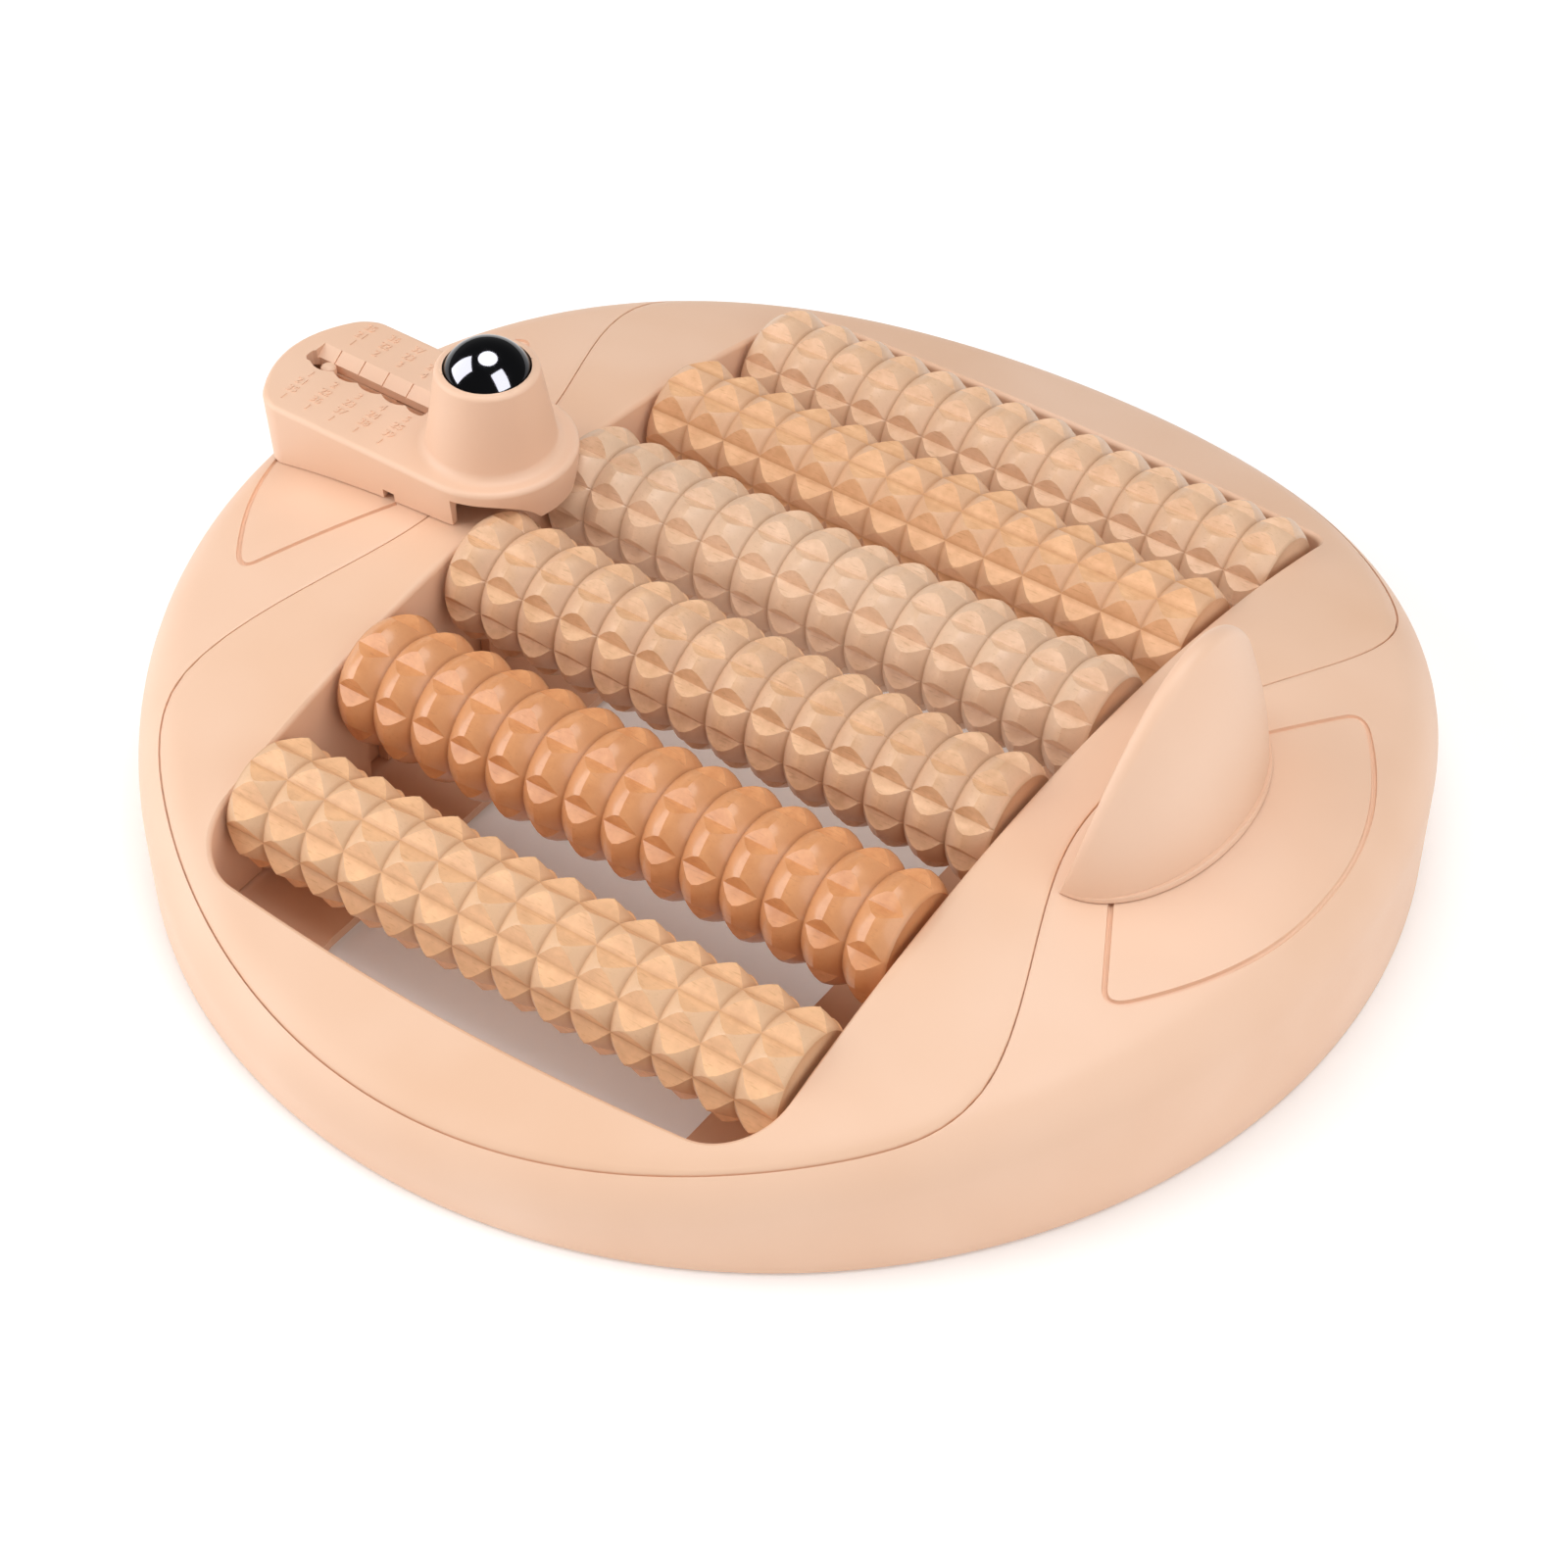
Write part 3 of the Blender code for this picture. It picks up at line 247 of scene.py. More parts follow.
@dataclass(frozen=True)
class TurnedWood:
    """Hardwood, turned on a lathe, cut across with a V-cutter and sealed.

    To the eye it has close growth lines and short dark flecks along the length, painted shade darkening the
    valleys, and a
    gloss that depends on the sealer: thin wax on the beech, a full coat on the varnished roller.
    """

    name: str
    colour: str
    late_wood: str
    fleck: str
    # Painted shade: the colour that the deepest part of each valley is darkened toward.
    valley_shade: str
    end_grain: str
    roughness: float = 0.42
    gloss_fall: float = 0.06
    gloss_rise: float = 0.10
    coat: float = 0.3
    coat_roughness: float = 0.25
    growth_share: float = 0.25
    growth_mm: float = 2.4
    growth_stretch: float = 0.08
    growth_waver: float = 3.0
    growth_waver_scale: float = 1.2
    # Each roller is cut from another place in the log, and lies a little askew in it.
    log_shift_mm: tuple[float, float] = (7.0, 3.0)
    log_turn: float = 0.4
    log_tilt: tuple[float, float] = (0.02, 0.03)
    mottle_mm: float = 5.0
    mottle_detail: float = 4.0
    mottle_fineness: float = 0.65
    mottle_range: tuple[float, float] = (0.36, 0.64)
    mottle_share: float = 0.8
    fleck_long_mm: float = 3.0
    # Real flecks are about 0.2 mm wide; drawn at 0.4 mm so that they show.
    fleck_wide_mm: float = 0.4
    fleck_range: tuple[float, float] = (0.60, 0.76)
    fleck_share: float = 0.40
    fleck_depth_mm: float = 0.04
    fleck_strength: float = 0.25
    flank_range: tuple[float, float] = (0.1, 0.55)
    flank_share: float = 0.75
    # Painted shade in the valleys: how far up from the bottom it reaches, as a share of the ring's relief,
    # and its strength at the bottom.
    valley_shade_reach: float = 0.2
    valley_shade_share: float = 0.4
    ior: float = 1.5

    def material(self, seed: float) -> Material:
        """Builds the node material.

        Args:
            seed: Shift through the log, so that each roller has its own grain.

        Returns:
            The material.
        """
        material, tree, shader = new_material("%s_%d" % (self.name, round(seed)))
        place = add_node(tree, "TexCoord", {}, "Object")
        shift_y, shift_z = self.log_shift_mm
        log = add_node(tree, "Mapping", {
            "Vector": place, "Location": (0.0, seed * shift_y * MM, seed * shift_z * MM),
            "Rotation": (self.log_turn * seed, *self.log_tilt),
        })
        along = add_node(tree, "Mapping", {"Vector": log, "Scale": (self.growth_stretch, 1.0, 1.0)})
        waves = {
            "Vector": along, "Scale": WAVE_BAND / (self.growth_mm * MM),
            "Distortion": self.growth_waver, "Detail": 2.0, "Detail Scale": self.growth_waver_scale,
        }
        growth = add_node(tree, "TexWave", waves, "Fac", bands_direction="Z")
        growth_share = add_node(tree, "MapRange", {"Value": growth, "To Max": self.growth_share})
        across = 1 / (self.fleck_wide_mm * MM)
        fleck_scale = (1 / (self.fleck_long_mm * MM), across, across)
        stretched = add_node(tree, "Mapping", {"Vector": log, "Scale": fleck_scale})
        dots = add_node(tree, "TexNoise", {"Vector": stretched, "Scale": 1.0, "Detail": 1.0})
        flecks = add_node(tree, "MapRange", {
            "Value": dots, "From Min": self.fleck_range[0], "From Max": self.fleck_range[1],
            "To Max": self.fleck_share,
        })
        clouds = {
            "Vector": log, "Scale": 1 / (self.mottle_mm * MM),
            "Detail": self.mottle_detail, "Roughness": self.mottle_fineness,
        }
        mottle = add_node(tree, "MapRange", {
            "Value": add_node(tree, "TexNoise", clouds),
            "From Min": self.mottle_range[0], "From Max": self.mottle_range[1], "To Max": self.mottle_share,
        })
        # The rings' flanks cut across the fibres, so they take the sealer up and look greyer than the cuts.
        normal = add_node(tree, "TexCoord", {}, "Normal")
        lengthwise = add_node(tree, "VectorMath", {0: normal}, operation="ABSOLUTE")
        flank = add_node(tree, "MapRange", {
            "Value": add_node(tree, "SeparateXYZ", {0: lengthwise}, "X"),
            "From Min": self.flank_range[0], "From Max": self.flank_range[1], "To Max": self.flank_share,
        })
        # Painted shade: the bottoms of the ring valleys and V-cuts are darkened toward the valley shade
        # colour, by the relief share that the roller's mesh carries.
        relief = add_node(tree, "Attribute", {}, "Fac", attribute_name="relief")
        depth = add_node(tree, "MapRange", {
            "Value": relief, "From Max": self.valley_shade_reach, "To Min": self.valley_shade_share, "To Max": 0.0,
        })
        colour: object = linear(self.colour)
        layers = (
            (mottle, self.late_wood), (growth_share, self.late_wood), (flecks, self.fleck),
            (flank, self.end_grain), (depth, self.valley_shade),
        )
        for share, tone in layers:
            tones = {MIX_SHARE: share, MIX_A: colour, MIX_B: linear(tone)}
            colour = add_node(tree, "Mix", tones, MIXED, data_type="RGBA")
        gloss = add_node(tree, "MapRange", {
            "Value": dots, "From Min": NOISE_LOW, "From Max": NOISE_HIGH,
            "To Min": self.roughness - self.gloss_fall, "To Max": self.roughness + self.gloss_rise,
        })
        pores = {"Height": dots, "Strength": self.fleck_strength, "Distance": self.fleck_depth_mm * MM}
        bump = add_node(tree, "Bump", pores)
        feed(tree, shader, {
            "Base Color": colour, "Roughness": gloss, "Normal": bump, "IOR": self.ior,
            "Coat Weight": self.coat, "Coat Roughness": self.coat_roughness,
        })
        return material


@dataclass(frozen=True)
class Steel:
    """Steel, drawn for the axles and screws or lapped to a mirror for the ball.

    To the eye the drawn bar has fine lines along its length; the lapped ball is a dark mirror that shows
    little but the lamps.
    """

    name: str
    colour: str
    roughness: float
    line_mm: float
    line_depth_mm: float
    line_stretch: float = 0.03
    line_strength: float = 0.2
    gloss_range: tuple[float, float] = (0.8, 1.3)

    def material(self) -> Material:
        """Builds the node material.

        Returns:
            The material.
        """
        material, tree, shader = new_material(self.name)
        place = add_node(tree, "TexCoord", {}, "Object")
        scale = 1 / (self.line_mm * MM)
        stretch = (scale * self.line_stretch, scale, scale)
        along = add_node(tree, "Mapping", {"Vector": place, "Scale": stretch})
        lines = add_node(tree, "TexNoise", {"Vector": along, "Scale": 1.0})
        low, high = self.gloss_range
        gloss = add_node(tree, "MapRange", {
            "Value": lines, "From Min": NOISE_LOW, "From Max": NOISE_HIGH,
            "To Min": self.roughness * low, "To Max": self.roughness * high,
        })
        relief = {"Height": lines, "Strength": self.line_strength, "Distance": self.line_depth_mm * MM}
        bump = add_node(tree, "Bump", relief)
        feed(tree, shader, {
            "Base Color": linear(self.colour), "Metallic": 1.0, "Roughness": gloss, "Normal": bump,
        })
        return material


@dataclass(frozen=True)
class MouldedRubber:
    """Rubber, pressed in a mould and left matt, with a fine dusty grit."""

    name: str
    colour: str = "#2A2624"
    dust: str = "#3E3835"
    roughness: float = 0.82
    grit_mm: float = 0.6
    grit_depth_mm: float = 0.05
    grit_strength: float = 0.3

    def material(self) -> Material:
        """Builds the node material.

        Returns:
            The material.
        """
        material, tree, shader = new_material(self.name)
        place = add_node(tree, "TexCoord", {}, "Object")
        grit = add_node(tree, "TexNoise", {"Vector": place, "Scale": 1 / (self.grit_mm * MM)})
        tones = {MIX_SHARE: grit, MIX_A: linear(self.colour), MIX_B: linear(self.dust)}
        colour = add_node(tree, "Mix", tones, MIXED, data_type="RGBA")
        relief = {"Height": grit, "Strength": self.grit_strength, "Distance": self.grit_depth_mm * MM}
        bump = add_node(tree, "Bump", relief)
        feed(tree, shader, {"Base Color": colour, "Normal": bump, "Roughness": self.roughness})
        return material


# Meshes


def steps_to(end: float, count: int) -> list[float]:
    """Gives equal steps from zero to an end value, both included."""
    return [end * i / count for i in range(count + 1)]


def loft(rings: Sequence[Sequence[Point]], wrap: bool = False, caps: bool = False) -> BMesh:
    """Skins closed outlines of equal length.

    Args:
        rings: Outlines in order.
        wrap: Joins the last outline to the first, for a ring-shaped body.
        caps: Fills the first and last outline.

    Returns:
        The skin.
    """
    skin = bmesh.new()
    loops = [[skin.verts.new(point) for point in ring] for ring in rings]
    followers = loops[1:] + loops[:1] if wrap else loops[1:]
    for first, second in zip(loops, followers):
        for i in range(len(first)):
            j = (i + 1) % len(first)
            skin.faces.new((first[i], first[j], second[j], second[i]))
    if caps:
        skin.faces.new(loops[0])
        skin.faces.new(loops[-1])
    return skin


def lathe(profile: Sequence[tuple[float, float]], centre: Vector, steps: int) -> BMesh:
    """Turns a profile about a vertical axis.

    Args:
        profile: Radius and height from the axis at one end to the axis at the other.
        centre: Point on the axis that heights count from.
        steps: Number of facets in a turn.

    Returns:
        The turned body.
    """
    rings = []
    for radius, height in profile[1:-1]:
        offsets = [Vector(polar(turn, radius, height)) for turn in steps_to(TURN, steps)[:-1]]
        rings.append([tuple(centre + offset) for offset in offsets])
    skin = loft(rings)
    skin.verts.ensure_lookup_table()
    ends = ((skin.verts[:steps], profile[0]), (skin.verts[-steps:], profile[-1]))
    for loop, tip in ends:
        pole = skin.verts.new(centre + Vector((0.0, 0.0, tip[1])))
        for i in range(steps):
            skin.faces.new((loop[i], loop[(i + 1) % steps], pole))
    return skin


def prism(outline: Plan, low: float, high: float) -> BMesh:
    """Raises a plan outline from one height to another."""
    return loft([[(x, y, z) for x, y in outline] for z in (low, high)], caps=True)


def side_prism(outline: Plan, low_x: float, high_x: float) -> BMesh:
    """Carries an outline of the YZ plane along X."""
    return loft([[(x, y, z) for y, z in outline] for x in (low_x, high_x)], caps=True)


def polar(angle: float, radius: float, height: float) -> Point:
    """Gives a point at an angle and distance from the centre."""
    return (radius * math.cos(angle), radius * math.sin(angle), height)


def rectangle(low_x: float, high_x: float, low_y: float, high_y: float) -> Plan:
    """Gives a rectangle in plan."""
    return [(low_x, low_y), (high_x, low_y), (high_x, high_y), (low_x, high_y)]


def circle(centre_x: float, centre_y: float, radius: float, steps: int) -> Plan:
    """Gives a circle in plan."""
    turns = steps_to(TURN, steps)[:-1]
    return [(centre_x + radius * math.cos(a), centre_y + radius * math.sin(a)) for a in turns]


def to_object(name: str, skin: BMesh) -> Object:
    """Turns a skin into an object of the scene.

    Args:
        name: Name of the object.
        skin: Skin, which is used up.

    Returns:
        The object, with its faces pointing out.
    """
    bmesh.ops.recalc_face_normals(skin, faces=skin.faces)
    mesh = bpy.data.meshes.new(name)
    skin.to_mesh(mesh)
    skin.free()
    obj = bpy.data.objects.new(name, mesh)
    bpy.context.scene.collection.objects.link(obj)
    return obj


def settled_mesh(obj: Object) -> bpy.types.Mesh:
    """Gives a new mesh of an object as its modifiers or its lettering make it."""
    bpy.context.view_layer.update()
    return bpy.data.meshes.new_from_object(obj.evaluated_get(bpy.context.evaluated_depsgraph_get()))


def combine(obj: Object, skin: BMesh, operation: str) -> None:
    """Adds a skin to an object or takes it away, and keeps the result as the object's mesh.

    Args:
        obj: Object that changes.
        skin: Skin, which is used up.
        operation: "UNION" or "DIFFERENCE".
    """
    tool = to_object("tool", skin)
    modifier = obj.modifiers.new("combine", "BOOLEAN")
    modifier.operation = operation
    modifier.solver = "EXACT"
    modifier.object = tool
    result = settled_mesh(obj)
    obj.modifiers.clear()
    result.name = obj.name
    obj.data = result
    bpy.data.objects.remove(tool, do_unlink=True)


def smooth(obj: Object, sharp_degrees: float) -> None:
    """Shades an object smooth except at edges sharper than an angle."""
    obj.data.shade_smooth()
    obj.data.set_sharp_from_angle(angle=math.radians(sharp_degrees))


def node_foot(name: str) -> tuple[Vector, float, float]:
    """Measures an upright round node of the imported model.

    Args:
        name: Name of the node.

    Returns:
        Middle of its underside, its radius and its height.
    """
    low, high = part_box(name)
    centre = Vector(((low.x + high.x) / 2, (low.y + high.y) / 2, low.z))
    return centre, (high.x - low.x) / 2, high.z - low.z


def dress(
    obj: Object, material: Material, nodes: Sequence[str] = (), body: str = Body.BASE.value
) -> None:
    """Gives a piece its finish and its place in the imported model.

    Args:
        obj: Piece.
        material: Its finish.
        nodes: Nodes that the piece stands for.
        body: Body that the piece rides on.
    """
    obj.data.materials.clear()
    obj.data.materials.append(material)
    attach(obj, body)
    if nodes:
        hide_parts(*nodes)
    LOG.info("%s: %d faces, rides on %s", obj.name, len(obj.data.polygons), body)


# Base


@dataclass
class BaseForm:
    """Shared surface of shell and frame: arched top, oval outline, rolled rim and the seam."""

    half_x: float = 0.1395
    half_y: float = 0.1425
    height: float = 0.048
    side_fall: float = 0.010
    side_power: int = 4
    arch_radius: float = 0.3375
    rim: float = 0.010
    wall: float = 0.0025
    draft: float = 0.0003
    floor_gap: float = 0.0004
    seam_gap: float = 0.00022
    seam_inset: float = 0.005
    seam_edge: float = 0.0004
    seam_depth: float = 0.0008
    waist_half: float = 0.0842
    waist_flare: float = 0.0355
    waist_angle: float = math.radians(32.6)
    waist_power: float = 2.8
    corner_sharpness: float = 13

    def dome(self, x: float, y: float) -> float:
        """Gives the height of the arched top over a point."""
        fall_x = self.side_fall * (x / self.half_x) ** self.side_power
        return self.height - fall_x - (self.arch_radius - math.sqrt(self.arch_radius ** 2 - y * y))

    def oval(self, angle: float, inset: float = 0.0) -> float:
        """Gives the distance from the centre to the oval outline, less an inset."""
        return 1 / math.hypot(math.cos(angle) / self.half_x, math.sin(angle) / self.half_y) - inset

    def top(self, angle: float, radius: float) -> float:
        """Gives the height of the top, with the rolled rim.

        Args:
            angle: Direction from the centre.
            radius: Distance from the centre.

        Returns:
            Height over the floor.
        """
        past = min(max((radius - self.oval(angle, self.rim)) / self.rim, 0.0), 1.0)
        roll = self.rim * (1 - math.sqrt(1 - past * past))
        return self.dome(radius * math.cos(angle), radius * math.sin(angle)) - roll

    def seam(self, angle: float) -> float:
        """Gives the course of the seam.

        Args:
            angle: Direction from the centre.

        Returns:
            Distance from the centre.
        """
        turn = math.asin(min(abs(math.sin(angle)), 1.0))
        waist = self.waist_half + self.waist_flare * (turn / self.waist_angle) ** self.waist_power
        power = self.corner_sharpness
        return (waist ** -power + self.oval(angle, self.seam_inset) ** -power) ** (-1 / power)


@dataclass
class OuterShell:
    """Outer shell: arched ring outside the seam with rolled rim, wall and two leaf-shaped grooves."""

    form: BaseForm
    turns: int = 360
    flat_steps: int = 18
    roll_steps: int = 10
    least_flat: float = 0.2
    wall_shares: tuple[float, ...] = (0.35, 0.7)
    under_shares: tuple[float, ...] = (0.9, 0.68, 0.36, 0.0)
    seam_step: float = 0.85
    foot_round: float = 0.0008
    leaf_reach: float = 0.1323
    leaf_tip: tuple[float, float] = (0.1117, 0.0515)
    leaf_root: tuple[float, float] = (0.0935, 0.0185)
    leaf_power: float = 2.2
    leaf_corner: float = 0.0045
    # Steps along a leaf's straight edge, its corner and its outer arc.
    leaf_steps: tuple[int, int, int] = (12, 8, 32)
    groove_half: float = 0.0006
    groove_depth: float = 0.0009
    groove_turns: tuple[float, ...] = (0.0, 0.8, 1.57, 2.34, 3.14)
    sharp_degrees: float = 32

    def section(self, angle: float) -> list[Point]:
        """Gives the shell's section: seam edge, top, rim, wall, foot and back inside.

        Args:
            angle: Direction from the centre.

        Returns:
            Closed section.
        """
        form = self.form
        edge = form.oval(angle)
        rim = edge - form.rim
        seam = form.seam(angle) + form.seam_gap / 2
        seam_top = form.top(angle, seam)
        round_end = seam + form.seam_edge
        flat = max(rim - round_end, (edge - round_end) * self.least_flat)
        start = math.acos(min(max((round_end + flat - rim) / form.rim, -1.0), 1.0))
        points = [(seam, seam_top - form.seam_edge)]
        points.append((seam + form.seam_edge * ROUNDING, seam_top - form.seam_edge * ROUNDING))
        radii = [round_end + flat * i / self.flat_steps for i in range(self.flat_steps)]
        radii += [rim + form.rim * math.cos(start * (1 - share)) for share in steps_to(1.0, self.roll_steps)]
        points += [(radius, form.top(angle, radius)) for radius in radii]
        shoulder, foot, outside = points[-1][1], form.floor_gap, edge - form.draft
        for share in self.wall_shares:
            points.append((edge - form.draft * share, shoulder + (foot - shoulder) * share))
        points.append((outside, foot + self.foot_round))
        points.append((outside - self.foot_round * ROUNDING, foot + self.foot_round * ROUNDING))
        points += [(outside - self.foot_round, foot), (outside - form.wall, foot)]
        inner = edge - form.wall
        points.append((inner, form.top(angle, edge)))
        step = seam - form.seam_gap * self.seam_step
        for share in self.under_shares:
            radius = step + (inner - step) * share
            points.append((radius, form.top(angle, radius) - form.wall))
        points += [(step, seam_top - form.seam_depth), (seam, seam_top - form.seam_depth)]
        return [polar(angle, radius, height) for radius, height in points]

    def leaf_path(self, side: int) -> Plan:
        """Gives the path of one groove from root to root.

        Args:
            side: -1 for the arm's side, 1 for the fin's.

        Returns:
            Points in plan.
        """
        root, tip = Vector(self.leaf_root), Vector(self.leaf_tip)
        straight, bend, arc = self.leaf_steps

        def outer(y: float) -> Vector:
            """Gives a point of the outer arc."""
            fall = (self.leaf_reach - tip.x) * abs(y / tip.y) ** self.leaf_power
            return Vector((self.leaf_reach - fall, y))

        before = tip - (tip - root).normalized() * self.leaf_corner
        after = outer(tip.y - self.leaf_corner)
        half = [root.lerp(before, i / straight) for i in range(straight)]
        for share in steps_to(1.0, bend):
            half.append(before.lerp(tip, share).lerp(tip.lerp(after, share), share))
        half += [outer(after.y * (1 - i / arc)) for i in range(1, arc + 1)]
        path = half + [Vector((point.x, -point.y)) for point in reversed(half[:-1])]
        return [(side * point.x, point.y) for point in path]

    def groove(self, path: Plan) -> BMesh:
        """Makes the bar that cuts a deep, round-bottomed groove.

        Args:
            path: Course of the groove on the top.

        Returns:
            The bar.
        """
        half, depth = self.groove_half, self.groove_depth
        outline = [(half, depth), (-half, depth)]
        for turn in self.groove_turns:
            outline.append((-half * math.cos(turn), half - depth - half * math.sin(turn)))
        sections = []
        for i, (x, y) in enumerate(path):
            ahead, behind = path[min(i + 1, len(path) - 1)], path[max(i - 1, 0)]
            across = Vector((behind[1] - ahead[1], ahead[0] - behind[0], 0.0)).normalized()
            centre = Vector((x, y, self.form.dome(x, y)))
            sections.append([tuple(centre + across * u + Vector((0.0, 0.0, v))) for u, v in outline])
        return loft(sections, caps=True)

    def build(self, material: Material) -> None:
        """Builds and dresses the shell.

        Args:
            material: Its finish.
        """
        angles = steps_to(TURN, self.turns)[:-1]
        shell = to_object("shell", loft([self.section(a) for a in angles], wrap=True))
        for side in (-1, 1):
            combine(shell, self.groove(self.leaf_path(side)), "DIFFERENCE")
        smooth(shell, self.sharp_degrees)
        dress(shell, material, ["outer_shell"])


@dataclass
class RollerFrame:
    """Roller frame: arched panel inside the seam, with the opening, its deep walls and the axle slots.

    The opening's front and back end are each given by distance, corner radius and bow.
    """

    form: BaseForm
    half_x: float = 0.0720
    front: tuple[float, float, float] = (0.1145, 0.014, 0.004)
    back: tuple[float, float, float] = (0.1073, 0.004, 0.0024)
    edge: float = 0.0012
    edge_shares: tuple[float, ...] = (0.33, 0.67)
    wall: float = 0.0025
    foot: float = 0.0045
    slot_radius: float = 0.0028
    slot_steps: int = 12
    # The cut for an axle's slot reaches past the opening by this share of the wall.
    slot_margin: float = 1.5
    corner_steps: int = 14
    end_steps: int = 8
    panel_steps: int = 14
    turn_steps: int = 180
    sharp_degrees: float = 32

    def outline(self, grow: float) -> Plan:
        """Gives the opening's outline.

        Args:
            grow: Distance that the outline stands off outward.

        Returns:
            Closed outline in plan.
        """
        half_x = self.half_x + grow
        halves = []
        for reach, radius, bow in (self.back, self.front):
            end_y, corner = reach + grow, radius + grow
            centre_x, centre_y = half_x - corner, end_y - corner
            points = [(half_x, 0.0)]
            for turn in steps_to(QUARTER, self.corner_steps):
                points.append((centre_x + corner * math.cos(turn), centre_y + corner * math.sin(turn)))
            points += [(centre_x * (1 - share), end_y) for share in steps_to(1.0, self.end_steps)[1:]]
            quarter = [(x, y + bow * (1 - (x / half_x) ** 2)) for x, y in points]
            halves.append(quarter + [(-x, y) for x, y in reversed(quarter[:-1])])
        back, front = halves
        return back + [(x, -y) for x, y in reversed(front[1:-1])]

    @staticmethod
    def reach(outline: Plan, angle: float) -> float:
        """Measures a closed outline in a direction.

        Args:
            outline: Outline round the centre.
            angle: Direction from the centre.

        Returns:
            Distance from the centre to the outline.
        """
        cosine, sine = math.cos(angle), math.sin(angle)
        for (ax, ay), (bx, by) in zip(outline, outline[1:] + outline[:1]):
            side_a, side_b = cosine * ay - sine * ax, cosine * by - sine * bx
            if side_a <= 0.0 <= side_b and side_a != side_b:
                share = side_a / (side_a - side_b)
                return (ax + (bx - ax) * share) * cosine + (ay + (by - ay) * share) * sine
        return 0.0

    def section(self, angle: float, inside: Plan, outside: Plan) -> list[Point]:
        """Gives the frame's section: wall of the opening, rounded edge, panel, seam edge and underside.

        Args:
            angle: Direction from the centre.
            inside: Outline of the opening.
            outside: Outline of the outer face of the opening's wall.

        Returns:
            Closed section.
        """
        form = self.form
        inner, wall = self.reach(inside, angle), self.reach(outside, angle)
        seam = form.seam(angle) - form.seam_gap / 2
        seam_top = form.top(angle, seam)
        start, end = inner + self.edge, seam - form.seam_edge
        rise = form.top(angle, start)
        points = [(inner, self.foot), (inner, rise - self.edge)]
        for share in self.edge_shares:
            turn = share * QUARTER
            points.append((start - self.edge * math.cos(turn), rise - self.edge * (1 - math.sin(turn))))
        radii = [start + (end - start) * i / self.panel_steps for i in range(self.panel_steps + 1)]
        points += [(radius, form.top(angle, radius)) for radius in radii]
        points.append((seam - form.seam_edge * ROUNDING, seam_top - form.seam_edge * ROUNDING))
        points += [(seam, seam_top - form.seam_edge), (seam, seam_top - form.wall)]
        for radius in (wall + (seam - wall) / 2, wall):
            points.append((radius, form.top(angle, radius) - form.wall))
        points.append((wall, self.foot))
        return [polar(angle, radius, height) for radius, height in points]

    def build(self, material: Material, axles: Sequence[tuple[float, float]]) -> None:
        """Builds and dresses the frame.

        Args:
            material: Its finish.
            axles: Y and Z of each axle.
        """
        inside, outside = self.outline(0.0), self.outline(self.wall)
        corners = [math.atan2(y, x) % TURN for x, y in inside]
        even = steps_to(TURN, self.turn_steps)[:-1]
        least = QUARTER / self.turn_steps
        angles = sorted(corners + [a for a in even if min(abs(a - c) for c in corners) > least])
        frame = to_object("frame", loft([self.section(a, inside, outside) for a in angles], wrap=True))
        radius, reach = self.slot_radius, self.half_x + self.wall * self.slot_margin
        for y, z in axles:
            outline = [(y - radius, 0.0), (y + radius, 0.0)]
            for turn in steps_to(math.pi, self.slot_steps):
                outline.append((y + radius * math.cos(turn), z + radius * math.sin(turn)))
            combine(frame, side_prism(outline, -reach, reach), "DIFFERENCE")
        smooth(frame, self.sharp_degrees)
        dress(frame, material, ["roller_frame"])


# Rollers


@dataclass(frozen=True)
class RollerCut:
    """Shape of a roller's rings and V-cuts: cut count, depth radius and slope, and the ring's fullness."""

    count: int
    floor_radius: float
    slope: float
    fullness: float

    def cut_radius(self, off: float) -> float:
        """Gives the radius of a V-cut's face at an angle from its middle line."""
        return self.floor_radius / (math.cos(off) - math.sin(off) * math.tan(self.slope))


CUTS: dict[CutKind, RollerCut] = {
    CutKind.PYRAMID: RollerCut(10, 0.01225, math.radians(23), 1.12),
    CutKind.DISC: RollerCut(10, 0.01265, math.radians(34), 1.7),
    CutKind.SOFT: RollerCut(8, 0.01310, math.radians(26), 1.6),
}


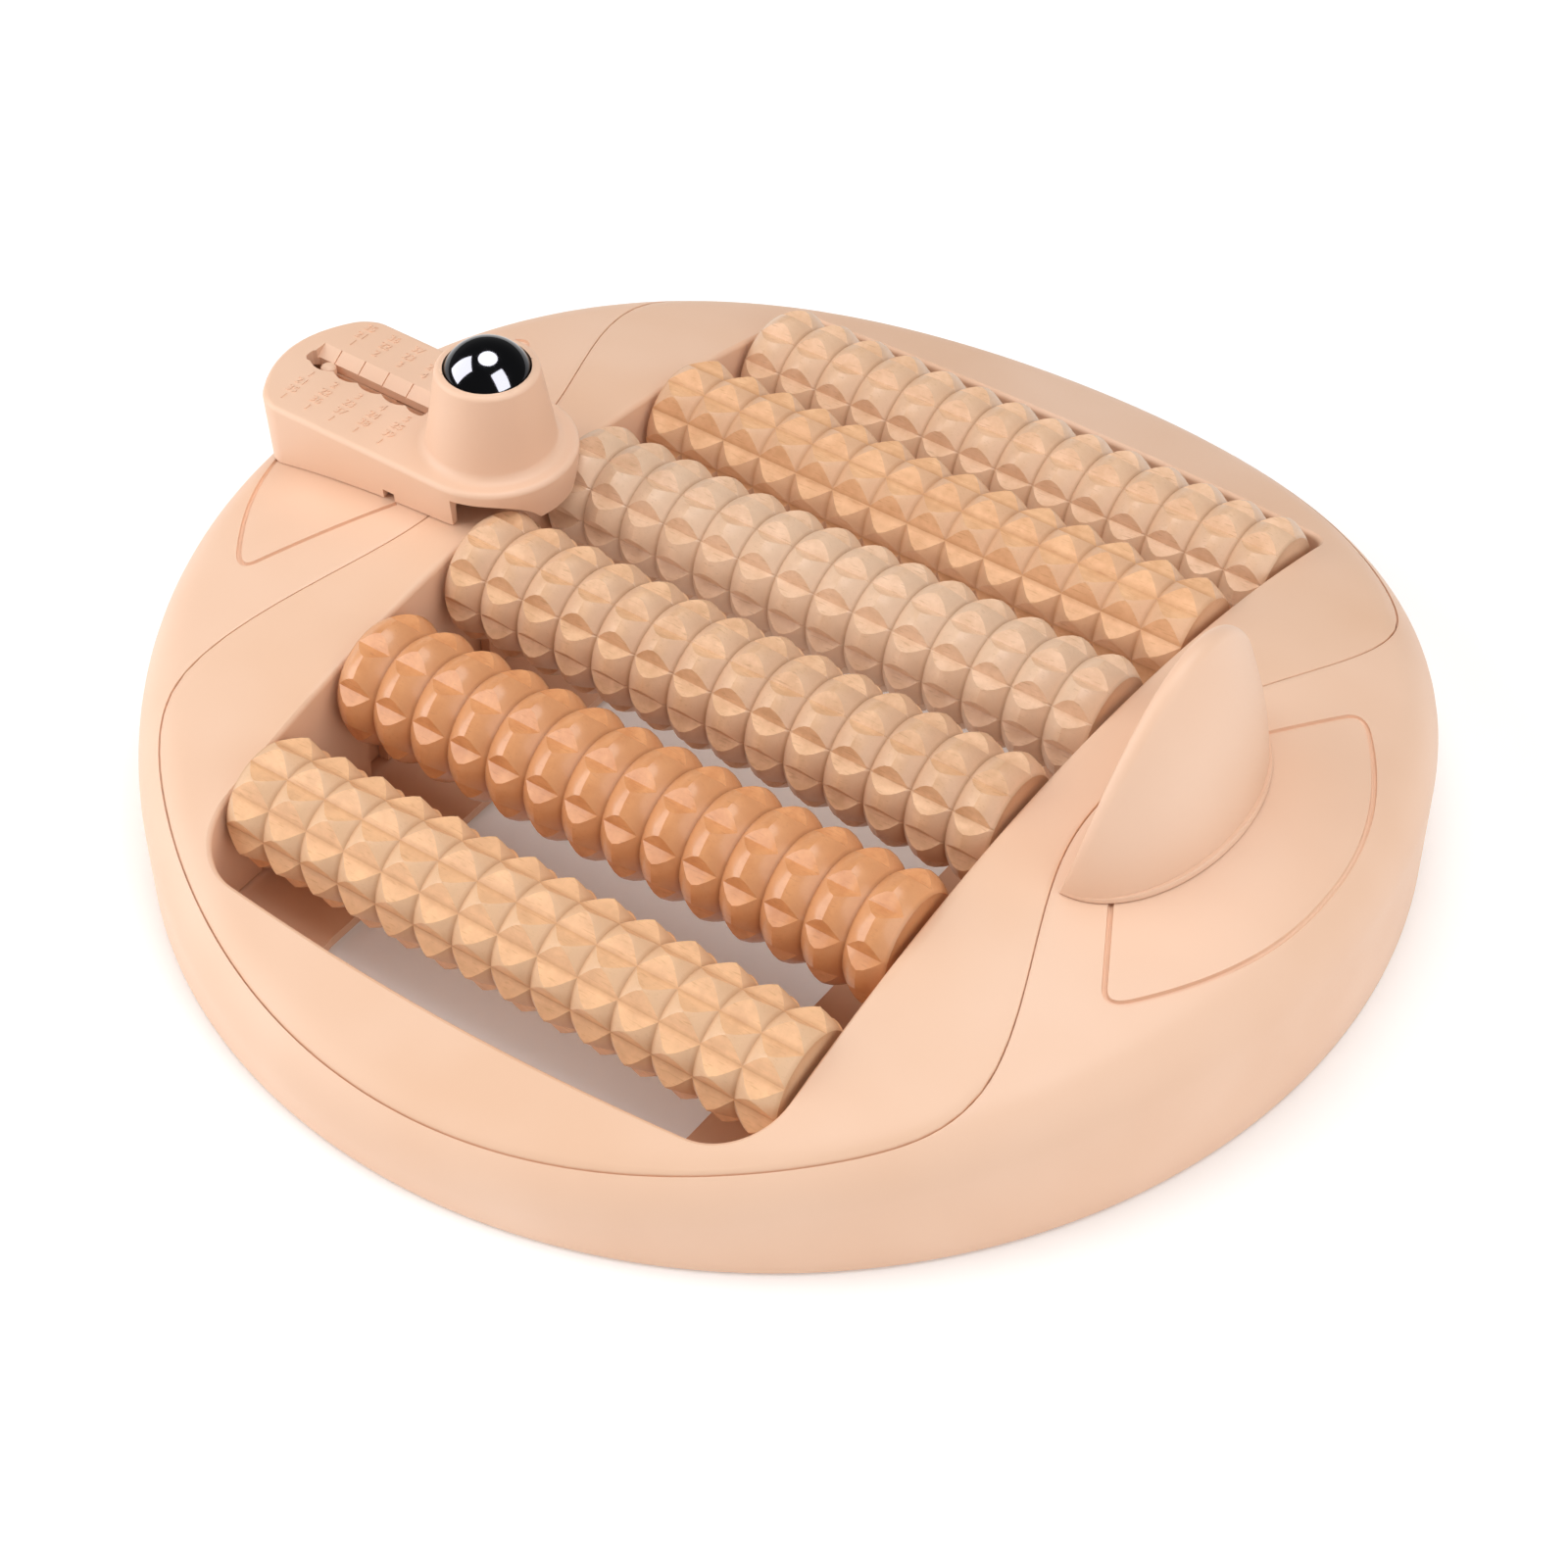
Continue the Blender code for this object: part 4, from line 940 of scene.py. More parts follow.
@dataclass
class Roller:
    """One wooden roller: fourteen turned rings, cut across into points or notches, with a bore."""

    number: int
    y: float
    z: float
    turn: float
    kind: CutKind
    finish: TurnedWood
    slot: Slot
    radius: float = 0.015
    groove: float = 0.0028
    rings: int = 14
    pitch: float = 0.0101
    bore: float = 0.0029
    ring_shares: tuple[float, ...] = (-1.0, -0.82, -0.55, -0.27, 0.0, 0.27, 0.55, 0.82)
    cut_shares: tuple[float, ...] = (0.0, 0.5, 1.0)
    crest_shares: tuple[float, ...] = (0.5, 1.0)
    least_cut: float = 0.012
    most_cut: float = 0.97
    halvings: int = 40
    end_relief: float = 0.6
    sharp_degrees: float = 24

    def ring_radius(self, share: float) -> float:
        """Gives the radius of a ring across its width; the share runs from -1 to 1."""
        return self.radius - self.groove * abs(share) ** CUTS[self.kind].fullness

    def cut_edge(self, radius: float) -> float:
        """Gives the angle at which a V-cut runs out of the ring.

        Args:
            radius: Radius of the ring there.

        Returns:
            Angle from the cut's middle line, at most half of the cut's share of the turn.
        """
        cut = CUTS[self.kind]
        low, high = 0.0, math.pi / cut.count
        for _ in range(self.halvings):
            middle = (low + high) / 2
            if cut.cut_radius(middle) < radius:
                low = middle
            else:
                high = middle
        return max(low, self.least_cut)

    def half_row(self, share: float) -> list[tuple[float, float]]:
        """Gives the outline from a cut's middle line to the middle of the crest beside it.

        Args:
            share: Place across the ring, from -1 to 1.

        Returns:
            Angles and radii.
        """
        cut = CUTS[self.kind]
        full = self.ring_radius(share)
        edge = min(self.cut_edge(full), math.pi / cut.count * self.most_cut)
        offs = [edge * s for s in self.cut_shares]
        offs += [edge + (math.pi / cut.count - edge) * s for s in self.crest_shares]
        return [(off, min(full, cut.cut_radius(off))) for off in offs]

    def row(self, share: float) -> list[tuple[float, float]]:
        """Gives the outline all the way round at one place across a ring.

        Args:
            share: Place across the ring, from -1 to 1.

        Returns:
            Angles and radii.
        """
        count = CUTS[self.kind].count
        step = TURN / count
        half = self.half_row(share)
        points = []
        for i in range(count):
            points += [(step * i + off, radius) for off, radius in half]
            points += [(step * (i + 1) - off, radius) for off, radius in reversed(half[1:-1])]
        return points

    def build(self) -> Object:
        """Builds and dresses the roller.

        Returns:
            The roller.
        """
        half = self.rings * self.pitch / 2
        places = [(ring, share) for ring in range(self.rings) for share in self.ring_shares]
        places.append((self.rings - 1, 1.0))
        rings, reliefs = [], []
        for ring, share in places:
            x = -half + self.pitch * (ring + 0.5 + share / 2)
            row = self.row(share)
            rings.append([(x, radius * math.cos(a), radius * math.sin(a)) for a, radius in row])
            reliefs += [(radius - self.radius + self.groove) / self.groove for _, radius in row]
        angles = [a for a, _ in self.row(1.0)]
        for x in (half, -half):
            rings.append([(x, self.bore * math.cos(a), self.bore * math.sin(a)) for a in angles])
            reliefs += [self.end_relief] * len(angles)
        roller = to_object("wooden_roller_%d" % self.number, loft(rings, wrap=True))
        # Relief share of each point: 0 at the deepest valley, 1 at the ring's top. The wood's painted valley
        # shade reads it.
        relief = roller.data.attributes.new("relief", "FLOAT", "POINT")
        relief.data.foreach_set("value", reliefs)
        smooth(roller, self.sharp_degrees)
        roller.location = (0.0, self.y, self.z)
        roller.rotation_euler = (self.turn, 0.0, 0.0)
        body, node = "roller_%d_body" % self.number, "roller_%d" % self.number
        dress(roller, self.finish.material(self.number), [node], body)
        return roller


# Arm


@dataclass
class SlideArm:
    """Sliding arm: hollow round-ended box with a moulded cone, an index slot and a plain scale."""

    form: BaseForm
    half_width: float = 0.0193
    top: float = 0.0573
    outer_x: float = -0.1395
    corner: float = 0.004
    end_bulge: float = 0.0083
    roll_share: float = 0.6
    edge: float = 0.0013
    wall: float = 0.0022
    plate: float = 0.0024
    draft: float = 0.0008
    lip_width: float = 0.004
    lip_rise: float = 0.0012
    lip_height: float = 0.0018
    window_x: tuple[float, float] = (-0.0972, -0.0940)
    window_height: float = 0.0023
    # Hollow that the rollers below the inner end turn in.
    hollow_radius: float = 0.0159
    hollow_x: float = -0.0775
    cone_x: float = -0.0805
    cone_base: float = 0.0145
    cone_top: float = 0.0117
    cone_height: float = 0.0205
    cone_flare: float = 0.0025
    cone_edge: float = 0.0012
    mouth_rise: float = 0.001
    ball_radius: float = 0.0105
    ball_height: float = 0.0160
    pin_x: float = -0.1285
    pin_dome: float = 0.0008
    pin_turns: tuple[float, ...] = (0.4, 0.8, 1.2, 1.57)
    setting: float = 0.0070
    settings: int = 5
    slot_left: float = -0.1340
    slot_right: float = -0.0984
    slot_front: float = -0.0016
    slot_back: float = 0.0026
    slot_wall: float = 0.0012
    slot_corner: float = 0.001
    scallop: float = 0.0012
    scallop_steps: int = 16
    bevel_back: float = 0.0055
    bevel_drop: float = 0.0022
    bevel_left: float = -0.1335
    tick_half: float = 0.00016
    tick_depth: float = 0.0004
    channel_depth: float = 0.0012
    # Y of each row of numbers, and the number at the row's first setting.
    number_rows: tuple[tuple[float, int], ...] = (
        (-0.0062, 1), (-0.0094, 21), (-0.0126, 35), (0.0082, 1), (0.0114, 21), (0.0146, 35)
    )
    number_size: float = 0.0030
    number_height: float = 0.0001
    stroke_half: float = 0.0002
    stroke_y: tuple[float, float] = (-0.0156, -0.0138)
    stroke_height: float = 0.00022
    side_steps: int = 10
    round_steps: int = 48
    edge_steps: int = 6
    rim_steps: int = 5
    flare_steps: int = 8
    socket_steps: int = 6
    turn_steps: int = 96
    pin_steps: int = 32
    ball_subdivisions: int = 5
    # Packed points closer than this are joined into one.
    weld: float = 1e-6
    sharp_degrees: float = 30
    pin_sharp_degrees: float = 40
    rail_top: float = field(init=False)

    def __post_init__(self) -> None:
        """Takes the rail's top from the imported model."""
        self.rail_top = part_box("arm_rail")[1].z

    def outline(self, inset: float) -> Plan:
        """Gives the arm's plan.

        Args:
            inset: Distance that the outline stands inside the arm's largest plan.

        Returns:
            Closed outline.
        """
        radius, corner, end_x = self.half_width - inset, self.corner - inset, self.outer_x + inset
        count = self.side_steps
        far = end_x + corner + self.end_bulge
        sides = [self.cone_x + (far - self.cone_x) * i / count for i in range(1, count)]
        turns = [turn - QUARTER for turn in steps_to(math.pi, self.round_steps)]
        outline = [(self.cone_x + radius * math.cos(a), radius * math.sin(a)) for a in turns]
        outline += [(x, radius) for x in sides]
        end = []
        for turn in steps_to(QUARTER, count):
            end.append((end_x + corner - corner * math.sin(turn), radius - corner + corner * math.cos(turn)))
        end += [(end_x, (radius - corner) * (1 - share)) for share in steps_to(1.0, count)[1:]]
        end = [(x + self.end_bulge * (y / radius) ** 2, y) for x, y in end]
        outline += end + [(x, -y) for x, y in reversed(end[:-1])]
        return outline + [(x, -radius) for x in reversed(sides)]

    def foot(self, x: float, y: float) -> float:
        """Gives the height of the arm's lower edge over a point.

        Args:
            x: Place along the arm.
            y: Place across the arm.

        Returns:
            Height over the floor.
        """
        angle = math.atan2(y, x)
        radius = min(math.hypot(x, y), self.form.oval(angle, self.form.rim * self.roll_share))
        return self.form.top(angle, radius) + FIT

    def slot_outline(self) -> Plan:
        """Gives the index slot: straight at the back, one hollow for each setting in front.

        Returns:
            Closed outline.
        """
        corner, count = self.slot_corner, self.scallop_steps
        front = [(self.slot_left + corner, self.slot_front)]
        for i in range(self.settings * count):
            x = self.pin_x + self.setting * (i / count - 0.5)
            share = i % count / count
            if x < self.slot_right - FIT:
                front.append((x, self.slot_front - self.scallop * 4 * share * (1 - share)))
        side = self.slot_back - corner
        back = [(self.slot_right, self.slot_front), (self.slot_right, side)]
        back += [(self.slot_right - corner, self.slot_back), (self.slot_left + corner, self.slot_back)]
        return front + back + [(self.slot_left, side), (self.slot_left, self.slot_front + corner)]

    def bevel_outline(self, sink: float) -> Plan:
        """Gives the cut of the slot's bevelled back edge in the YZ plane.

        Args:
            sink: Depth below the bevel, for the ticks.

        Returns:
            Closed outline.
        """
        low_y, low_z = self.slot_back - FIT, self.top - self.bevel_drop
        return [
            (low_y, low_z - sink), (self.bevel_back, self.top - sink),
            (self.bevel_back, self.top + FIT), (low_y, self.top + FIT),
        ]

    def cone(self, centre: Vector) -> BMesh:
        """Makes the solid cone with its flared foot and rounded rim.

        Args:
            centre: Middle of its foot.

        Returns:
            The cone.
        """
        edge, flare, height = self.cone_edge, self.cone_flare, self.cone_height
        profile = [(0.0, height)]
        for turn in steps_to(QUARTER, self.rim_steps):
            out, up = edge * math.sin(turn), edge * math.cos(turn)
            profile.append((self.cone_top - edge + out, height - edge + up))
        for turn in steps_to(QUARTER, self.flare_steps):
            profile.append((self.cone_base + flare * (1 - math.cos(turn)), flare * (1 - math.sin(turn))))
        profile += [(profile[-1][0], -self.plate / 2), (0.0, -self.plate / 2)]
        return lathe(profile, centre, self.turn_steps)

    def ball_bore(self, centre: Vector) -> BMesh:
        """Makes the space for the ball: a narrowed mouth, a round socket and a straight bore below.

        Args:
            centre: Middle of the cone's foot.

        Returns:
            The space.
        """
        socket = self.ball_radius + FIT
        highest = math.asin((self.cone_height - self.ball_height) / socket)
        mouth, mouth_top = socket * math.cos(highest), self.cone_height + self.mouth_rise
        profile = [(0.0, mouth_top), (mouth, mouth_top)]
        for share in steps_to(1.0, self.socket_steps):
            turn = highest * (1 - share)
            profile.append((socket * math.cos(turn), self.ball_height + socket * math.sin(turn)))
        profile += [(socket, -self.top / 2), (0.0, -self.top / 2)]
        return lathe(profile, centre, self.turn_steps)

    def numbers(self, material: Material) -> None:
        """Sets plain raised numbers and strokes beside the settings.

        Args:
            material: Their finish.
        """
        skin = bmesh.new()
        places = [self.pin_x + self.setting * i for i in range(self.settings)]
        rows = [(i, y, first) for i in range(self.settings) for y, first in self.number_rows]
        for i, row_y, first in rows:
            text = bpy.data.curves.new("number", "FONT")
            text.body = str(first + i)
            text.size = self.number_size
            text.extrude = self.number_height
            text.align_x = "CENTER"
            source = bpy.data.objects.new("number", text)
            bpy.context.scene.collection.objects.link(source)
            mesh = settled_mesh(source)
            mesh.transform(Matrix.Translation((places[i], row_y, self.top + self.number_height)))
            skin.from_mesh(mesh)
            bpy.data.objects.remove(source, do_unlink=True)
            bpy.data.meshes.remove(mesh)
        half = self.stroke_half
        for x in places:
            outline = rectangle(x - half, x + half, *self.stroke_y)
            stroke = prism(outline, self.top - half, self.top + self.stroke_height)
            mesh = bpy.data.meshes.new("stroke")
            stroke.to_mesh(mesh)
            stroke.free()
            skin.from_mesh(mesh)
            bpy.data.meshes.remove(mesh)
        scale = to_object("setting_scale", skin)
        dress(scale, material, body=Body.ARM.value)

    def box(self) -> Object:
        """Makes the arm's hollow box with its rounded top edge.

        Returns:
            The box.
        """
        inside = self.outline(self.wall)
        rings = [[(x, y, self.top - self.plate) for x, y in inside]]
        rings += [[(x, y, self.foot(x, y)) for x, y in plan] for plan in (inside, self.outline(self.draft))]
        for turn in steps_to(QUARTER, self.edge_steps):
            inset, drop = self.edge * (1 - math.cos(turn)), self.edge * (1 - math.sin(turn))
            rings.append([(x, y, self.top - drop) for x, y in self.outline(inset)])
        return to_object("ball_arm", loft(rings, caps=True))

    def build(self, material: Material, axles: Sequence[tuple[float, float]]) -> None:
        """Builds and dresses the arm.

        Args:
            material: Its finish.
            axles: Y and Z of the two axles below the arm's inner end.
        """
        arm = self.box()
        centre = Vector((self.cone_x, 0.0, self.top))
        inner = self.half_width - self.wall - self.lip_width
        low = self.form.dome(self.cone_x, inner) + self.lip_rise
        for side in (-1, 1):
            near, far = sorted((side * inner, side * (self.half_width - self.wall / 2 - self.draft)))
            outline = rectangle(self.outer_x + self.end_bulge + self.corner, self.cone_x, near, far)
            combine(arm, prism(outline, low, low + self.lip_height), "UNION")
        front, back = self.slot_front - self.scallop - self.slot_wall, self.bevel_back + self.slot_wall
        outline = rectangle(self.slot_left - self.slot_wall, self.slot_right + self.slot_wall, front, back)
        combine(arm, prism(outline, self.rail_top + FIT, self.top - self.plate / 2), "UNION")
        combine(arm, self.cone(centre), "UNION")
        combine(arm, self.ball_bore(centre), "DIFFERENCE")
        combine(arm, prism(self.slot_outline(), self.form.height, self.top * 2), "DIFFERENCE")
        combine(arm, side_prism(self.bevel_outline(0.0), self.bevel_left, self.slot_right), "DIFFERENCE")
        for i in range(self.settings - 1):
            x = self.pin_x + self.setting * i
            tick = side_prism(self.bevel_outline(self.tick_depth), x - self.tick_half, x + self.tick_half)
            combine(arm, tick, "DIFFERENCE")
        inner_end = self.cone_x + self.half_width + self.wall
        for y, z in axles:
            hollow = circle(y, z, self.hollow_radius, self.turn_steps)
            combine(arm, side_prism(hollow, self.hollow_x, inner_end), "DIFFERENCE")
        window = rectangle(*self.window_x, -self.half_width - self.wall, FIT - inner)
        sill = self.foot(sum(self.window_x) / 2, -self.half_width)
        combine(arm, prism(window, 0.0, sill + self.window_height), "DIFFERENCE")
        smooth(arm, self.sharp_degrees)
        dress(arm, material, ["slide_arm"], Body.ARM.value)
        self.numbers(material)

    def build_ball(self, material: Material) -> Object:
        """Builds and dresses the steel ball.

        Args:
            material: Its finish.

        Returns:
            The ball, for the lamps that it mirrors.
        """
        skin = bmesh.new()
        bmesh.ops.create_icosphere(skin, subdivisions=self.ball_subdivisions, radius=self.ball_radius)
        ball = to_object("polished_ball", skin)
        ball.location = (self.cone_x, 0.0, self.top + self.ball_height)
        ball.data.shade_smooth()
        dress(ball, material, ["steel_ball"], Body.BALL.value)
        return ball

    def build_rail(self, node: Object, material: Material) -> None:
        """Builds and dresses the rail, with the shallow channel that the pin stands in.

        Args:
            node: Packed rail, whose shape is copied.
            material: Its finish.
        """
        skin = bmesh.new()
        skin.from_mesh(node.data)
        bmesh.ops.remove_doubles(skin, verts=skin.verts, dist=self.weld)
        rail = to_object("channelled_rail", skin)
        outline = rectangle(self.outer_x, self.slot_right, self.slot_front - self.scallop, self.slot_back)
        combine(rail, prism(outline, self.rail_top - self.channel_depth, self.top), "DIFFERENCE")
        smooth(rail, self.sharp_degrees)
        dress(rail, material, ["arm_rail"])

    def build_pin(self, material: Material) -> None:
        """Builds and dresses the index pin with its domed head.

        Args:
            material: Its finish.
        """
        centre, radius, height = node_foot("index_pin")
        profile = [(0.0, height)]
        for turn in self.pin_turns:
            profile.append((radius * math.sin(turn), height - self.pin_dome * (1 - math.cos(turn))))
        profile += [(radius, 0.0), (0.0, 0.0)]
        pin = to_object("setting_pin", lathe(profile, centre, self.pin_steps))
        smooth(pin, self.pin_sharp_degrees)
        dress(pin, material, ["index_pin"])


# Fin


@dataclass
class ArchFin:
    """Arch fin: upright leaf with a straight inner face, a full outer face and a stepped skirt."""

    form: BaseForm
    inner_x: float = 0.0903
    depth: float = 0.0211
    half_length: float = 0.0342
    height: float = 0.0435
    lean: float = 0.0080
    point: float = 0.7
    edge: float = 0.0024
    crest_turn: float = math.radians(155)
    bulge: float = 0.0016
    skirt_height: float = 0.0016
    skirt_step: float = 0.0011
    # Rounded edge of the skirt, as shares of its step and its height.
    skirt_edge: tuple[float, float] = (0.25, 0.7)
    # The leaf ends just short of a knife edge.
    end_share: float = 0.985
    sections: int = 72
    inner_steps: int = 6
    crest_steps: int = 8
    outer_steps: int = 20
    sharp_degrees: float = 34

    def section(self, share: float) -> list[Point]:
        """Gives the fin's section across its length.

        Args:
            share: Place along the length, from -1 to 1.

        Returns:
            Closed section.
        """
        y = self.half_length * share
        rise = math.sqrt(1 - share * share)
        outer = self.inner_x + self.depth * rise
        crest = self.inner_x + self.lean * rise
        edge, low_rise = self.edge * rise, rise ** 0.5
        step, skirt = self.skirt_step * low_rise, self.skirt_height * low_rise
        foot_in = self.form.dome(self.inner_x, y) + FIT
        foot_out = self.form.dome(outer, y) + FIT
        peak = foot_in + self.height * (1 - share * share) ** self.point
        turns = steps_to(self.crest_turn, self.crest_steps)
        round_top = [(crest - edge * math.cos(a), peak - edge * (1 - math.sin(a))) for a in turns]
        (low_x, low_z), (start_x, start_z) = round_top[0], round_top[-1]
        points = []
        for i in range(self.inner_steps):
            x = self.inner_x + (low_x - self.inner_x) * i / self.inner_steps
            points.append((x, foot_in + (low_z - foot_in) * i / self.inner_steps))
        points += round_top
        face_x, face_z = outer - step, foot_out + skirt
        for along in steps_to(1.0, self.outer_steps)[1:]:
            x, z = start_x + (face_x - start_x) * along, start_z + (face_z - start_z) * along
            points.append((x + self.bulge * rise * math.sin(math.pi * along), z))
        back, up = step * self.skirt_edge[0], skirt * self.skirt_edge[1]
        points += [(outer - back, face_z), (outer, foot_out + up), (outer, foot_out)]
        return [(x, y, z) for x, z in points]

    def build(self, material: Material) -> None:
        """Builds and dresses the fin.

        Args:
            material: Its finish.
        """
        turns = [math.pi * (share - 0.5) * self.end_share for share in steps_to(1.0, self.sections)]
        fin = to_object("leaf_fin", loft([self.section(math.sin(a)) for a in turns], caps=True))
        smooth(fin, self.sharp_degrees)
        dress(fin, material, ["arch_fin"])


# Small pieces


@dataclass
class Hardware:
    """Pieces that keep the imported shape, and the screws and feet that get finer ones.

    Profiles are shares: a screw's tip of its radius, its head and recess of the head's radius and height, and
    a foot's rounded edge of its height.
    """

    nodes: dict[str, Object]
    screw_radius: float = 0.0014
    tip_shares: tuple[tuple[float, float], ...] = ((0.3, 0.4), (1.0, 1.0))
    head_radius: float = 0.003
    head_height: float = 0.0009
    head_shares: tuple[tuple[float, float], ...] = ((1.0, 1.0), (1.0, 0.7), (0.8, 0.1), (0.5, 0.0))
    recess_half: float = 0.00035
    recess_reach: float = 0.55
    recess_depth: float = 0.7
    screw_steps: int = 32
    screw_sharp_degrees: float = 35
    foot_edge: float = 0.4
    foot_turns: tuple[float, ...] = (0.0, 0.5, 1.0, 1.57)
    foot_steps: int = 48
    foot_sharp_degrees: float = 40

    def keep(self, prefix: str, material: Material) -> None:
        """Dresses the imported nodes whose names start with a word.

        Args:
            prefix: Start of the names.
            material: Their finish.
        """
        for name, node in sorted(self.nodes.items()):
            if name.startswith(prefix):
                if not node.material_slots:
                    node.data.materials.append(material)
                for place in node.material_slots:
                    place.material = material
                LOG.info("%s: packed shape, %s", name, material.name)

    def screw(self, name: str, material: Material) -> None:
        """Builds one screw with a domed head and a cross recess.

        Args:
            name: Node that the screw stands for.
            material: Its finish.
        """
        centre, _, top = node_foot(name)
        radius, head = self.screw_radius, self.head_height
        profile = [(0.0, top)] + [(radius * out, top - radius * down) for out, down in self.tip_shares]
        profile.append((radius, head))
        profile += [(self.head_radius * out, head * up) for out, up in self.head_shares]
        profile.append((0.0, 0.0))
        screw = to_object(name + "_cross_head", lathe(profile, centre, self.screw_steps))
        half, reach = self.recess_half, self.head_radius * self.recess_reach
        for size_x, size_y in ((half, reach), (reach, half)):
            outline = rectangle(centre.x - size_x, centre.x + size_x, centre.y - size_y, centre.y + size_y)
            recess = prism(outline, centre.z - MM, centre.z + head * self.recess_depth)
            combine(screw, recess, "DIFFERENCE")
        smooth(screw, self.screw_sharp_degrees)
        dress(screw, material, [name])

    def foot(self, name: str, material: Material) -> None:
        """Builds one rubber foot with a rounded rim.

        Args:
            name: Node that the foot stands for.
            material: Its finish.
        """
        centre, radius, height = node_foot(name)
        edge = height * self.foot_edge
        profile = [(0.0, height), (radius, height)]
        for turn in self.foot_turns:
            profile.append((radius - edge + edge * math.cos(turn), edge - edge * math.sin(turn)))
        profile.append((0.0, 0.0))
        foot = to_object(name + "_pad", lathe(profile, centre, self.foot_steps))
        smooth(foot, self.foot_sharp_degrees)
        dress(foot, material, [name])


# Studio


@dataclass(frozen=True)
class Softbox:
    """Area lamp: direction from the object, distance, size in metres, brightness of its face and shape."""

    name: str
    direction: tuple[float, float, float]
    distance: float
    width: float
    height: float
    brightness: float
    shape: str = "RECTANGLE"

    def build(self, receivers: bpy.types.Collection, blockers: bpy.types.Collection | None = None) -> None:
        """Sets the lamp up, facing the object.

        Args:
            receivers: Pieces that the lamp is kept to or kept off.
            blockers: Pieces that shade it, where not all do.
        """
        data = bpy.data.lights.new(self.name, "AREA")
        data.shape = self.shape
        data.size, data.size_y = self.width, self.height
        data.energy = self.brightness * math.pi * self.width * self.height
        lamp = bpy.data.objects.new(self.name, data)
        bpy.context.scene.collection.objects.link(lamp)
        away = Vector(self.direction).normalized()
        lamp.location = away * self.distance
        lamp.rotation_euler = away.to_track_quat("Z", "Y").to_euler()
        lamp.light_linking.receiver_collection = receivers
        lamp.light_linking.blocker_collection = blockers


def linked(name: str, pieces: Sequence[Object], state: str) -> bpy.types.Collection:
    """Gathers pieces that a lamp is kept to or kept off.

    Args:
        name: Name of the group.
        pieces: Pieces in it.
        state: INCLUDE or EXCLUDE.

    Returns:
        The group.
    """
    group = bpy.data.collections.new(name)
    for piece in pieces:
        group.objects.link(piece)
    for row in group.collection_objects:
        row.light_linking.link_state = state
    return group


